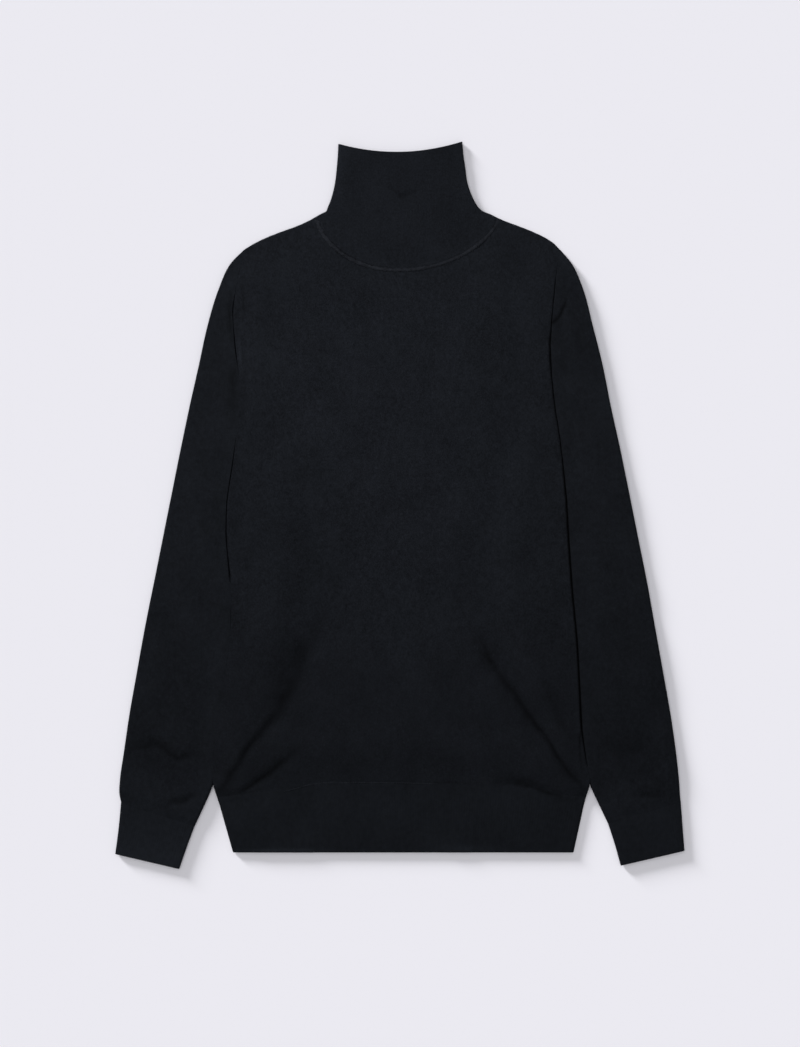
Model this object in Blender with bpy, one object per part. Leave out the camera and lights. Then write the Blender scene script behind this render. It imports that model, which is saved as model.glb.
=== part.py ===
"""A plain turtleneck sweater of fine knit, lying flat with its front up.

The sweater rests on the plane z = 0. +Y points to its collar and +X to the right as it
is seen from above, and "left" and "right" in the names are that viewer's. The origin is
under the middle of the whole outline. Every piece is one closed wall of knitted cloth:
the back lies on the surface, the front lies on the back, and the sleeves lie beside the
body with their inner edges tucked beneath it. All sizes are in millimetres.
"""

from collections import namedtuple

import bmesh
import bpy
import numpy as np

MM = 0.001

# Cloth
KNIT_WALL = 1.2  # plain knit of the body and the sleeves
RIB_WALL = 1.6  # fine rib of the collar, the hem and the cuffs
PLY_GAP = 0.4  # air between the two layers of a sleeve, a cuff or the collar
BODY_GAP = 1.1  # air between the back and the front
SEAM_GAP = 0.35  # air between two pieces linked edge to edge
ARMHOLE_GAP = 0.6  # the same where a sleeve meets the body
BLACK_WOOL = (0.0105, 0.0115, 0.0140, 1.0)
WOOL_ROUGHNESS = 0.92

# How high the cloth stands off the layer below it
FRONT_LOFT = 2.4  # the middle of the front
HEM_BLOUSE = 2.4  # the front's swelling above the hem rib
HEM_BLOUSE_ABOVE_SEAM = 34.0
HEM_BLOUSE_HALF_WIDTH = 26.0
SLEEVE_LOFT = 2.4  # a sleeve beside the body
CUFF_LOFT = 1.0
COLLAR_LOFT = 1.0
SIDE_FADE = 60.0  # distance over which the front's loft fades towards an edge
SLEEVE_FADE = 26.0
SLEEVE_FLAT = 5.0  # a sleeve stays flat this far out from the body's edge

# The body lies over the tucked inner edges of the sleeves
SLEEVE_STACK = 2 * KNIT_WALL + PLY_GAP
TUCK_CLEARANCE = 0.7
TUCK_MARGIN = 12.0  # it stays up this far past a sleeve's inner edge
TUCK_FADE = 34.0  # and then comes down over this width
TUCK_TOP_Y = 270.0  # it starts to rise over the sleeve here
TUCK_FULL_Y = 226.0  # and is clear of it from here down
TUCK_END_Y = -299.0  # until the sleeve comes out at the notch
TUCK_GONE_Y = -314.0

# Hem: the seam bows up in the middle, and the lower edge is straight
HEM_SEAM_MIDDLE_Y = -296.0
HEM_SEAM_DROP = 16.0
HEM_SEAM_ROUND = 1.8
HEM_EDGE_Y = -370.2
HEM_EDGE_LEFT = -178.3
HEM_EDGE_RIGHT = 185.2

# Neck: where the collar meets the shoulders, and how deep its seam scoops
NECK_LEFT = (-87.5, 309.0)
NECK_RIGHT = (103.2, 307.0)
FRONT_NECK_DEPTH = 56.2
BACK_NECK_DEPTH = 16.0
BACK_NECK_GAP = 0.9  # air between the back and the collar
NECK_ROUND = 0.62  # 0.5 is a half ellipse and 1 is a parabola
NECK_SKEW = 0.08  # moves the lowest point towards the left
COLLAR_EDGE_DEPTH = 9.8
COLLAR_BACK_EDGE_DEPTH = 11.0
RIDGE_HEIGHT = 0.8  # the raised linking ridge at the collar's foot
RIDGE_CREST = 0.013  # places along the collar, as parts of its height
RIDGE_FOOT = 0.030

# Grid sizes
SHOULDER_COLUMNS = 8
NECK_COLUMNS = 22
FRONT_ROWS = 36
BACK_SHOULDER_COLUMNS = 6
BACK_NECK_COLUMNS = 12
BACK_ROWS = 20
SLEEVE_RINGS = 22
RING_CROWDING = 0.5  # rings lie closer together at the shoulder and the cuff
SLEEVE_COLUMNS = 6
CUFF_RINGS = 4
HEM_ROWS = 3
COLLAR_RINGS = (0.0, RIDGE_CREST, RIDGE_FOOT, 0.122, 0.18, 0.27, 0.40, 0.56, 0.72, 0.87, 1.0)
EDGE_ROUND = 3.0  # width over which a tube's folded edge rounds off
EDGE_STEPS = (0.0, 0.8)  # distances from that edge at which points lie
FOLD_SAMPLES = 25
ARMHOLE_SAMPLES = 25

BodySection = namedtuple("BodySection", "y left right")
BODY_SECTIONS = (
    BodySection(y=-312.0, left=-194.8, right=198.0),
    BodySection(y=-298.1, left=-198.6, right=201.8),
    BodySection(y=-268.2, left=-198.0, right=197.5),
    BodySection(y=-240.5, left=-195.9, right=193.8),
    BodySection(y=-197.8, left=-188.9, right=191.6),
    BodySection(y=-144.4, left=-181.5, right=188.7),
    BodySection(y=-91.0, left=-179.9, right=183.6),
    BodySection(y=-31.2, left=-184.9, right=179.4),
    BodySection(y=5.1, left=-183.9, right=177.4),
    BodySection(y=42.4, left=-178.3, right=173.5),
    BodySection(y=74.5, left=-174.5, right=169.6),
    BodySection(y=103.3, left=-172.4, right=164.9),
    BodySection(y=135.3, left=-171.5, right=161.5),
    BodySection(y=170.5, left=-175.4, right=159.6),
    BodySection(y=207.9, left=-177.7, right=162.3),
    BodySection(y=239.9, left=-172.9, right=165.5),
    BodySection(y=273.5, left=-165.2, right=169.8),
)
UNDERARM_Y = 74.5

ShoulderPoint = namedtuple("ShoulderPoint", "x y")
LEFT_SHOULDER = (
    ShoulderPoint(x=-165.2, y=273.5),
    ShoulderPoint(x=-156.9, y=278.4),
    ShoulderPoint(x=-144.1, y=284.8),
    ShoulderPoint(x=-128.1, y=291.2),
    ShoulderPoint(x=-110.0, y=297.8),
    ShoulderPoint(x=-97.1, y=303.6),
    ShoulderPoint(*NECK_LEFT),
)
RIGHT_SHOULDER = (
    ShoulderPoint(*NECK_RIGHT),
    ShoulderPoint(x=110.5, y=303.8),
    ShoulderPoint(x=127.0, y=297.6),
    ShoulderPoint(x=142.9, y=291.2),
    ShoulderPoint(x=155.9, y=284.8),
    ShoulderPoint(x=165.2, y=278.4),
    ShoulderPoint(x=169.8, y=273.5),
)

# A sleeve's sections run from its outer edge to its inner one. The first lies along the
# armhole, and the others swing round until they cross the sleeve squarely. "bow" is how
# much of the armhole's own curve a section keeps.
SleeveSection = namedtuple("SleeveSection", "outer_x outer_y inner_x inner_y bow")
LEFT_SLEEVE = (
    SleeveSection(outer_x=-165.6, outer_y=273.4, inner_x=-174.5, inner_y=74.5, bow=1.0),
    SleeveSection(outer_x=-181.2, outer_y=257.0, inner_x=-170.3, inner_y=61.6, bow=0.7),
    SleeveSection(outer_x=-193.9, outer_y=229.2, inner_x=-160.7, inner_y=46.7, bow=0.45),
    SleeveSection(outer_x=-205.2, outer_y=191.9, inner_x=-150.0, inner_y=28.6, bow=0.25),
    SleeveSection(outer_x=-214.6, outer_y=149.2, inner_x=-141.4, inner_y=5.1, bow=0.1),
    SleeveSection(outer_x=-224.2, outer_y=106.5, inner_x=-137.2, inner_y=-21.6, bow=0.0),
    SleeveSection(outer_x=-233.8, outer_y=60.6, inner_x=-137.2, inner_y=-54.7, bow=0.0),
    SleeveSection(outer_x=-243.9, outer_y=10.4, inner_x=-140.4, inner_y=-91.0, bow=0.0),
    SleeveSection(outer_x=-253.5, outer_y=-37.6, inner_x=-146.8, inner_y=-128.4, bow=0.0),
    SleeveSection(outer_x=-263.1, outer_y=-85.7, inner_x=-154.3, inner_y=-160.4, bow=0.0),
    SleeveSection(outer_x=-272.7, outer_y=-133.7, inner_x=-163.9, inner_y=-192.4, bow=0.0),
    SleeveSection(outer_x=-281.3, outer_y=-181.7, inner_x=-174.5, inner_y=-221.2, bow=0.0),
    SleeveSection(outer_x=-288.8, outer_y=-224.4, inner_x=-184.1, inner_y=-251.1, bow=0.0),
    SleeveSection(outer_x=-294.6, outer_y=-263.9, inner_x=-192.7, inner_y=-277.8, bow=0.0),
    SleeveSection(outer_x=-298.6, outer_y=-292.0, inner_x=-201.2, inner_y=-303.4, bow=0.0),
    SleeveSection(outer_x=-299.2, outer_y=-308.0, inner_x=-209.8, inner_y=-322.7, bow=0.0),
    SleeveSection(outer_x=-297.4, outer_y=-317.3, inner_x=-218.8, inner_y=-341.9, bow=0.0),
)
RIGHT_SLEEVE = (
    SleeveSection(outer_x=170.2, outer_y=273.4, inner_x=169.6, inner_y=74.5, bow=1.0),
    SleeveSection(outer_x=183.6, outer_y=257.0, inner_x=165.4, inner_y=61.6, bow=0.7),
    SleeveSection(outer_x=195.0, outer_y=231.4, inner_x=156.5, inner_y=46.7, bow=0.45),
    SleeveSection(outer_x=205.5, outer_y=191.9, inner_x=147.0, inner_y=28.6, bow=0.25),
    SleeveSection(outer_x=216.2, outer_y=149.2, inner_x=139.0, inner_y=5.1, bow=0.1),
    SleeveSection(outer_x=224.7, outer_y=106.5, inner_x=136.0, inner_y=-21.6, bow=0.0),
    SleeveSection(outer_x=234.8, outer_y=60.6, inner_x=137.0, inner_y=-54.7, bow=0.0),
    SleeveSection(outer_x=245.0, outer_y=10.4, inner_x=141.0, inner_y=-91.0, bow=0.0),
    SleeveSection(outer_x=254.6, outer_y=-37.6, inner_x=148.0, inner_y=-128.4, bow=0.0),
    SleeveSection(outer_x=264.2, outer_y=-85.7, inner_x=156.0, inner_y=-160.4, bow=0.0),
    SleeveSection(outer_x=272.7, outer_y=-133.7, inner_x=166.0, inner_y=-192.4, bow=0.0),
    SleeveSection(outer_x=281.3, outer_y=-181.7, inner_x=177.0, inner_y=-221.2, bow=0.0),
    SleeveSection(outer_x=288.8, outer_y=-224.4, inner_x=187.0, inner_y=-251.1, bow=0.0),
    SleeveSection(outer_x=294.4, outer_y=-263.9, inner_x=196.0, inner_y=-277.8, bow=0.0),
    SleeveSection(outer_x=297.6, outer_y=-293.8, inner_x=204.2, inner_y=-301.8, bow=0.0),
    SleeveSection(outer_x=298.7, outer_y=-309.8, inner_x=212.8, inner_y=-320.5, bow=0.0),
    SleeveSection(outer_x=299.2, outer_y=-316.0, inner_x=221.6, inner_y=-339.0, bow=0.0),
)

CuffSection = namedtuple("CuffSection", "outer_x outer_y inner_x inner_y")
LEFT_CUFF = (
    CuffSection(outer_x=-297.6, outer_y=-317.9, inner_x=-219.1, inner_y=-342.4),
    CuffSection(outer_x=-300.2, outer_y=-345.0, inner_x=-227.6, inner_y=-365.2),
    CuffSection(outer_x=-303.7, outer_y=-371.8, inner_x=-235.4, inner_y=-387.8),
)
RIGHT_CUFF = (
    CuffSection(outer_x=299.4, outer_y=-316.5, inner_x=221.9, inner_y=-339.5),
    CuffSection(outer_x=301.4, outer_y=-342.5, inner_x=229.2, inner_y=-362.0),
    CuffSection(outer_x=303.4, outer_y=-368.4, inner_x=235.4, inner_y=-384.2),
)

# The collar's two folded edges, from the neck seam to the top
CollarSection = namedtuple("CollarSection", "left_x left_y right_x right_y")
COLLAR_SECTIONS = (
    CollarSection(*NECK_LEFT, *NECK_RIGHT),
    CollarSection(left_x=-82.6, left_y=311.6, right_x=95.5, right_y=310.8),
    CollarSection(left_x=-78.6, left_y=313.8, right_x=88.0, right_y=313.8),
    CollarSection(left_x=-77.2, left_y=317.4, right_x=84.2, right_y=317.2),
    CollarSection(left_x=-74.7, left_y=323.2, right_x=80.1, right_y=323.2),
    CollarSection(left_x=-72.6, left_y=329.6, right_x=76.9, right_y=329.6),
    CollarSection(left_x=-69.6, left_y=342.4, right_x=72.4, right_y=342.4),
    CollarSection(left_x=-67.3, left_y=361.7, right_x=69.4, right_y=361.7),
    CollarSection(left_x=-66.2, left_y=376.0, right_x=67.4, right_y=376.0),
    CollarSection(left_x=-65.8, left_y=385.2, right_x=66.5, right_y=387.7),
)

# Folds are soft troughs with a raised bank on either side. Each runs from its start
# through its middle to its end, and its half width changes from start_width to end_width.
Fold = namedtuple("Fold", "start middle end depth start_width end_width")
FRONT_FOLDS = (
    Fold(start=(-84.9, -113.4), middle=(-124.0, -200.0), end=(-183.0, -296.0),
         depth=3.4, start_width=12.0, end_width=8.0),
    Fold(start=(-112.0, -260.0), middle=(-141.0, -284.0), end=(-173.0, -305.0),
         depth=2.4, start_width=8.0, end_width=7.0),
    Fold(start=(87.0, -139.0), middle=(139.0, -224.0), end=(197.0, -300.0),
         depth=3.2, start_width=9.0, end_width=9.0),
    Fold(start=(112.0, -289.0), middle=(141.0, -299.0), end=(180.0, -308.0),
         depth=2.0, start_width=8.0, end_width=7.0),
    Fold(start=(129.7, -136.0), middle=(162.0, -200.0), end=(182.0, -262.0),
         depth=1.2, start_width=11.0, end_width=9.0),
)
LEFT_SLEEVE_FOLDS = (
    Fold(start=(-283.0, -262.0), middle=(-250.0, -257.0), end=(-214.0, -266.0),
         depth=2.0, start_width=10.0, end_width=10.0),
    Fold(start=(-252.0, -326.0), middle=(-238.0, -318.0), end=(-223.0, -306.0),
         depth=1.6, start_width=7.0, end_width=7.0),
)
RIGHT_SLEEVE_FOLDS = (
    Fold(start=(216.0, -262.0), middle=(236.0, -264.0), end=(252.0, -257.0),
         depth=1.6, start_width=11.0, end_width=11.0),
    Fold(start=(254.0, -308.0), middle=(272.0, -310.0), end=(292.0, -309.0),
         depth=1.2, start_width=8.0, end_width=8.0),
)
BANK_HEIGHT = 0.4  # of a fold's depth
BANK_DISTANCE = 2.0  # from the trough, in half widths


def through(rows, fractions):
    """Points at these fractions of the length of a smooth curve through the rows."""
    rows = np.asarray(rows, float)
    lengths = np.linalg.norm(np.diff(rows[:, :2], axis=0), axis=1)
    knots = np.concatenate([[0.0], np.cumsum(lengths)]) / lengths.sum()
    slopes = np.gradient(rows, knots, axis=0)
    fractions = np.atleast_1d(fractions)
    index = np.clip(np.searchsorted(knots, fractions, side="right") - 1, 0, len(knots) - 2)
    span = (knots[index + 1] - knots[index])[:, None]
    t = (fractions - knots[index])[:, None] / span
    return (
        rows[index] * (2 * t**3 - 3 * t**2 + 1)
        + slopes[index] * span * (t**3 - 2 * t**2 + t)
        + rows[index + 1] * (3 * t**2 - 2 * t**3)
        + slopes[index + 1] * span * (t**3 - t**2)
    )


def ease(value):
    """0 below 0, 1 above 1 and a smooth rise between."""
    value = np.clip(value, 0.0, 1.0)
    return value * value * (3.0 - 2.0 * value)


def between(start, end, amount):
    return start + (end - start) * amount


def body_edge(side, y):
    """x of the body's left (-1) or right (+1) edge at height y."""
    ys = [row.y for row in BODY_SECTIONS]
    xs = [row.left if side < 0 else row.right for row in BODY_SECTIONS]
    return np.interp(y, ys, xs)


def outside_body(side, x, y):
    """How far a point lies outside the body's left or right edge."""
    return side * (x - body_edge(side, y))


def hem_seam_y(across):
    """Height of the hem seam, from -1 at its left end to 1 at its right end."""
    return HEM_SEAM_MIDDLE_Y - HEM_SEAM_DROP * np.abs(across) ** HEM_SEAM_ROUND


def neck_curve(across, depth, rounding, skew, left, right):
    """A scooped line from left to right, where across runs from -1 to 1."""
    shifted = across + skew * (1.0 - across**2)
    x = between(left[0], right[0], (across + 1.0) / 2.0)
    y = between(left[1], right[1], (across + 1.0) / 2.0)
    return np.stack([x, y - depth * (1.0 - shifted**2) ** rounding], axis=-1)


def neck_steps(columns):
    """Places across the neck, closer together where the scoop turns up at its ends."""
    return -np.cos(np.linspace(0.0, np.pi, columns + 1))


def neck_seam(columns, depth):
    steps = neck_steps(columns)
    return neck_curve(steps, depth, NECK_ROUND, NECK_SKEW, NECK_LEFT, NECK_RIGHT)


def moved_out(line, distance):
    """The plan line moved to its right-hand side as it runs."""
    along = np.gradient(line, axis=0)
    along /= np.linalg.norm(along, axis=1)[:, None]
    return line + distance * np.stack([along[:, 1], -along[:, 0]], axis=1)


def inner_sleeve_edge(side, y):
    """x of a sleeve's tucked inner edge at height y."""
    rows = LEFT_SLEEVE if side < 0 else RIGHT_SLEEVE
    ys = [row.inner_y for row in rows]
    xs = [row.inner_x for row in rows]
    return np.interp(y, ys[::-1], xs[::-1])


def body_lift(x, y):
    """How high the back panel stands off the surface, over the tucked sleeves."""
    total = np.zeros_like(x)
    along = ease((TUCK_TOP_Y - y) / (TUCK_TOP_Y - TUCK_FULL_Y))
    along *= ease((y - TUCK_GONE_Y) / (TUCK_END_Y - TUCK_GONE_Y))
    for side in (-1, 1):
        inward = side * (inner_sleeve_edge(side, y) - x) - TUCK_MARGIN
        total += 1.0 - ease(inward / TUCK_FADE)
    return (SLEEVE_STACK + TUCK_CLEARANCE) * along * np.minimum(total, 1.0)


def fold_height(fold, x, y):
    """Height that one fold adds: a trough along its route between two soft banks."""
    start, middle, end = (np.array(point) for point in (fold.start, fold.middle, fold.end))
    control = 2.0 * middle - (start + end) / 2.0
    t = np.linspace(0.0, 1.0, FOLD_SAMPLES)[:, None]
    route = (1 - t) ** 2 * start + 2 * t * (1 - t) * control + t**2 * end
    points = np.stack([x, y], axis=-1)[..., None, :]
    distance = np.linalg.norm(points - route, axis=-1)
    nearest = distance.argmin(axis=-1)
    distance = distance.min(axis=-1)
    place = nearest / (FOLD_SAMPLES - 1)
    width = between(fold.start_width, fold.end_width, place)
    fade = 0.35 + 0.65 * np.sin(np.pi * place)
    trough = np.exp(-((distance / width) ** 2))
    bank = np.exp(-((distance / width - BANK_DISTANCE) ** 2))
    return fold.depth * fade * (BANK_HEIGHT * bank - trough)


def fold_heights(folds, x, y):
    return sum(fold_height(fold, x, y) for fold in folds)


def patch(bottom, top, left, right):
    """Plan grid inside four edges: bottom and top run right, left and right run up."""
    u = np.linspace(0.0, 1.0, len(bottom))[None, :, None]
    v = np.linspace(0.0, 1.0, len(left))[:, None, None]
    up = between(bottom[None], top[None], v)
    over = between(left[:, None], right[:, None], u)
    corners = between(between(bottom[0], bottom[-1], u), between(top[0], top[-1], u), v)
    return up + over - corners


def side_line(side, rows):
    """The body's side from the hem seam to the shoulder's tip."""
    table = [(row.left if side < 0 else row.right, row.y) for row in BODY_SECTIONS]
    return through(table, np.linspace(0.0, 1.0, rows + 1))


def hem_seam(columns):
    across = np.linspace(-1.0, 1.0, columns + 1)
    first = BODY_SECTIONS[0]
    x = between(first.left, first.right, (across + 1.0) / 2.0)
    return np.stack([x, hem_seam_y(across)], axis=1)


def body_plan(shoulder_columns, neck, rows):
    """Plan grid of a body panel whose top edge holds this neck line."""
    steps = np.linspace(0.0, 1.0, shoulder_columns + 1)
    top = np.concatenate(
        [
            through(LEFT_SHOULDER, steps)[:-1],
            neck,
            through(RIGHT_SHOULDER, steps)[1:],
        ]
    )
    bottom = hem_seam(len(top) - 1)
    return patch(bottom, top, side_line(-1, rows), side_line(1, rows))


def front_stand_off(plan):
    """How high the front stands off the back: a gentle loft, the blouse and the folds."""
    x, y = plan[..., 0], plan[..., 1]
    from_side = np.minimum(-outside_body(-1, x, y), -outside_body(1, x, y))
    from_hem = y - plan[0, :, 1]
    from_top = plan[-1, :, 1] - y
    inside = ease(from_side / SIDE_FADE)
    loft = FRONT_LOFT * inside * ease(from_hem / SIDE_FADE) * ease(from_top / SIDE_FADE)
    swell = (from_hem - HEM_BLOUSE_ABOVE_SEAM) / HEM_BLOUSE_HALF_WIDTH
    blouse = HEM_BLOUSE * ease(from_side / SLEEVE_FADE) * np.exp(-(swell**2))
    return np.maximum(loft + blouse + fold_heights(FRONT_FOLDS, x, y), 0.0)


def add_material(name):
    material = bpy.data.materials.new(name)
    material.use_nodes = True
    shader = material.node_tree.nodes["Principled BSDF"]
    shader.inputs["Base Color"].default_value = BLACK_WOOL
    shader.inputs["Roughness"].default_value = WOOL_ROUGHNESS
    shader.inputs["Metallic"].default_value = 0.0
    return material


def add_piece(name, build_faces):
    """One object whose faces build_faces(mesh) makes from points in millimetres."""
    mesh = bmesh.new()
    build_faces(mesh)
    data = bpy.data.meshes.new(name)
    mesh.to_mesh(data)
    mesh.free()
    data.shade_smooth()
    data.set_sharp_from_angle(angle=np.radians(50.0))
    data.materials.append(add_material(name + "_knit"))
    piece = bpy.data.objects.new(name, data)
    bpy.context.scene.collection.objects.link(piece)


def grid_of_vertices(mesh, points):
    return [[mesh.verts.new(point * MM) for point in row] for row in points]


def add_panel(name, plan, underside, wall):
    """A wall over the plan grid, from its underside's heights up by its thickness."""

    def build_faces(mesh):
        low = grid_of_vertices(mesh, np.dstack([plan, underside]))
        high = grid_of_vertices(mesh, np.dstack([plan, underside + wall]))
        rows, columns = len(low), len(low[0])
        for r in range(rows - 1):
            for c in range(columns - 1):
                mesh.faces.new([high[r][c], high[r][c + 1], high[r + 1][c + 1], high[r + 1][c]])
                mesh.faces.new([low[r][c], low[r + 1][c], low[r + 1][c + 1], low[r][c + 1]])
        rim = [(0, c) for c in range(columns)]
        rim += [(r, columns - 1) for r in range(1, rows)]
        rim += [(rows - 1, c) for c in range(columns - 2, -1, -1)]
        rim += [(r, 0) for r in range(rows - 2, 0, -1)]
        for (r0, c0), (r1, c1) in zip(rim, rim[1:] + rim[:1]):
            mesh.faces.new([low[r0][c0], low[r1][c1], high[r1][c1], high[r0][c0]])

    add_piece(name, build_faces)


def add_tube(name, outer, inner, reverse):
    """An open tube: outer and inner are loops of points, one pair for each section."""

    def build_faces(mesh):
        outside = grid_of_vertices(mesh, outer)
        inside = grid_of_vertices(mesh, inner)
        sections, count = len(outside), len(outside[0])
        quads = []
        for s in range(sections - 1):
            for p in range(count):
                q = (p + 1) % count
                quads.append([outside[s][p], outside[s][q], outside[s + 1][q], outside[s + 1][p]])
                quads.append([inside[s][p], inside[s + 1][p], inside[s + 1][q], inside[s][q]])
        for p in range(count):
            q = (p + 1) % count
            quads.append([outside[0][p], inside[0][p], inside[0][q], outside[0][q]])
            quads.append([outside[-1][p], outside[-1][q], inside[-1][q], inside[-1][p]])
        for quad in quads:
            mesh.faces.new(quad[::-1] if reverse else quad)

    add_piece(name, build_faces)


def along_line(line, distances):
    """Points at these distances along a plan polyline."""
    steps = np.linalg.norm(np.diff(line, axis=0), axis=1)
    lengths = np.concatenate([[0.0], np.cumsum(steps)])
    return np.stack([np.interp(distances, lengths, line[:, axis]) for axis in (0, 1)], axis=1)


def line_length(line):
    return np.linalg.norm(np.diff(line, axis=0), axis=1).sum()


def edge_height(distances, length, rounding):
    """1 inside a flattened tube and 0 on its folded edges, along a quarter ellipse."""
    near = np.minimum(distances, length - distances)
    return np.sqrt(1.0 - (1.0 - np.clip(near / rounding, 0.0, 1.0)) ** 2)


def flat_loops(upper_line, lower_line, places, top, wall):
    """Outer and inner loops of one section of a flattened tube that lies on z = 0.

    upper_line and lower_line are the plan lines of its two layers, which share their
    ends; places are parts of their length; top gives the height of its upper surface at
    plan points.
    """
    loops = []
    for inset in (0.0, wall):
        layers = []
        for line, is_upper in ((upper_line, True), (lower_line, False)):
            length = line_length(line)
            distances = inset + places * (length - 2.0 * inset)
            points = along_line(line, distances)
            upper = top(points) - inset
            middle = (upper + inset) / 2.0
            inner_length = length - 2.0 * inset
            rise = edge_height(distances - inset, inner_length, EDGE_ROUND - inset)
            half = (upper - inset) / 2.0 * rise
            heights = middle + half if is_upper else middle - half
            layers.append(np.column_stack([points, heights]))
        loops.append(np.concatenate([layers[0], layers[1][-2:0:-1]]))
    return loops


def tube_places(length, columns):
    """Parts of a section's length: close to both folded edges, then evenly between."""
    edge = [step / length for step in EDGE_STEPS] + [EDGE_ROUND / length]
    middle = np.linspace(edge[-1], 1.0 - edge[-1], columns + 1)[1:-1]
    return np.concatenate([edge, middle, 1.0 - np.array(edge[::-1])])


def sleeve_top(side, folds):
    """Height of a sleeve's upper surface at plan points: flat under the body, full outside."""

    def top(points):
        x, y = points[:, 0], points[:, 1]
        outside = ease((outside_body(side, x, y) - SLEEVE_FLAT) / SLEEVE_FADE)
        stand_off = SLEEVE_LOFT * outside + fold_heights(folds, x, y) * outside
        return SLEEVE_STACK + np.maximum(stand_off, 0.0)

    return top


def armhole_line(side):
    """The armhole from the shoulder's tip down to the underarm, just outside the body."""
    table = [
        (row.left if side < 0 else row.right, row.y)
        for row in BODY_SECTIONS[::-1]
        if row.y >= UNDERARM_Y
    ]
    line = through(table, np.linspace(0.0, 1.0, ARMHOLE_SAMPLES))
    return moved_out(line, side * -ARMHOLE_GAP)


def add_sleeve(name, side, table, folds):
    armhole = armhole_line(side)
    share = np.linspace(0.0, 1.0, len(armhole))[:, None]
    bulge = armhole - between(armhole[0], armhole[-1], share)
    steps = np.linspace(0.0, 1.0, SLEEVE_RINGS + 1)
    steps -= RING_CROWDING * np.sin(2.0 * np.pi * steps) / (2.0 * np.pi)
    rings = through([tuple(row) for row in table], steps)
    top = sleeve_top(side, folds)
    outer, inner = [], []
    for outer_x, outer_y, inner_x, inner_y, bow in rings:
        start, end = np.array([outer_x, outer_y]), np.array([inner_x, inner_y])
        if bow == 1.0:
            line = armhole
        else:
            line = between(start, end, share) + max(bow, 0.0) * bulge
        places = tube_places(line_length(line), SLEEVE_COLUMNS)
        outside, inside = flat_loops(line, line, places, top, KNIT_WALL)
        outer.append(outside)
        inner.append(inside)
    add_tube(name, outer, inner, reverse=side < 0)


def add_cuff(name, side, table):
    rings = through([tuple(row) for row in table], np.linspace(0.0, 1.0, CUFF_RINGS + 1))

    def top(points):
        return np.full(len(points), 2 * RIB_WALL + PLY_GAP + CUFF_LOFT)

    outer, inner = [], []
    for outer_x, outer_y, inner_x, inner_y in rings:
        line = np.array([[outer_x, outer_y], [inner_x, inner_y]])
        places = tube_places(line_length(line), SLEEVE_COLUMNS)
        outside, inside = flat_loops(line, line, places, top, RIB_WALL)
        outer.append(outside)
        inner.append(inside)
    add_tube(name, outer, inner, reverse=side < 0)


def add_collar():
    """The standing collar, whose front foot is deeper than its back foot."""
    outer, inner = [], []
    for place in COLLAR_RINGS:
        left_x, left_y, right_x, right_y = through(COLLAR_SECTIONS, place)[0]
        ends = (left_x, left_y), (right_x, right_y)
        rounding = between(NECK_ROUND, 1.0, place)
        skew = between(NECK_SKEW, 0.0, place)
        steps = neck_steps(NECK_COLUMNS)
        front_depth = between(FRONT_NECK_DEPTH, COLLAR_EDGE_DEPTH, place)
        back_depth = between(BACK_NECK_DEPTH, COLLAR_BACK_EDGE_DEPTH, place)
        front = neck_curve(steps, front_depth, rounding, skew, *ends)
        back = neck_curve(steps, back_depth, rounding, skew, *ends)
        ridge = RIDGE_HEIGHT if place == RIDGE_CREST else 0.0
        loft = COLLAR_LOFT * ease(place / 0.3)

        def top(points):
            return np.full(len(points), 2 * RIB_WALL + PLY_GAP + loft + ridge)

        lengths = np.concatenate([[0.0], np.cumsum(np.linalg.norm(np.diff(front, axis=0), axis=1))])
        own = lengths[1:-1] / lengths[-1]
        edge = np.array([step / lengths[-1] for step in EDGE_STEPS])
        places = np.concatenate([edge, own, 1.0 - edge[::-1]])
        outside, inside = flat_loops(front, back, places, top, RIB_WALL)
        outer.append(outside)
        inner.append(inside)
    add_tube("collar", outer, inner, reverse=False)


def add_body():
    front_neck = moved_out(neck_seam(NECK_COLUMNS, FRONT_NECK_DEPTH), SEAM_GAP)
    front = body_plan(SHOULDER_COLUMNS, front_neck, FRONT_ROWS)
    lift = body_lift(front[..., 0], front[..., 1])
    add_panel("front", front, lift + KNIT_WALL + BODY_GAP + front_stand_off(front), KNIT_WALL)
    back_neck = moved_out(neck_seam(BACK_NECK_COLUMNS, BACK_NECK_DEPTH), BACK_NECK_GAP)
    back = body_plan(BACK_SHOULDER_COLUMNS, back_neck, BACK_ROWS)
    add_panel("back", back, body_lift(back[..., 0], back[..., 1]), KNIT_WALL)


def hem_plan(columns):
    """Plan grid of a hem band, from its straight lower edge to the hem seam."""
    top = hem_seam(columns) - (0.0, SEAM_GAP)
    x = np.linspace(HEM_EDGE_LEFT, HEM_EDGE_RIGHT, columns + 1)
    bottom = np.stack([x, np.full(columns + 1, HEM_EDGE_Y)], axis=1)
    steps = np.linspace(0.0, 1.0, HEM_ROWS + 1)[:, None]
    return patch(bottom, top, between(bottom[0], top[0], steps), between(bottom[-1], top[-1], steps))


def add_hem():
    front = hem_plan(2 * SHOULDER_COLUMNS + NECK_COLUMNS)
    back = hem_plan(2 * BACK_SHOULDER_COLUMNS + BACK_NECK_COLUMNS)
    add_panel("hem_rib_back", back, np.zeros(back.shape[:2]), RIB_WALL)
    raised = np.full(front.shape[:2], RIB_WALL + PLY_GAP)
    add_panel("hem_rib_front", front, raised, RIB_WALL)


def main():
    for leftover in list(bpy.data.objects):
        bpy.data.objects.remove(leftover, do_unlink=True)
    add_body()
    add_hem()
    add_sleeve("sleeve_left", -1, LEFT_SLEEVE, LEFT_SLEEVE_FOLDS)
    add_sleeve("sleeve_right", 1, RIGHT_SLEEVE, RIGHT_SLEEVE_FOLDS)
    add_cuff("cuff_left", -1, LEFT_CUFF)
    add_cuff("cuff_right", 1, RIGHT_CUFF)
    add_collar()


main()
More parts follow.
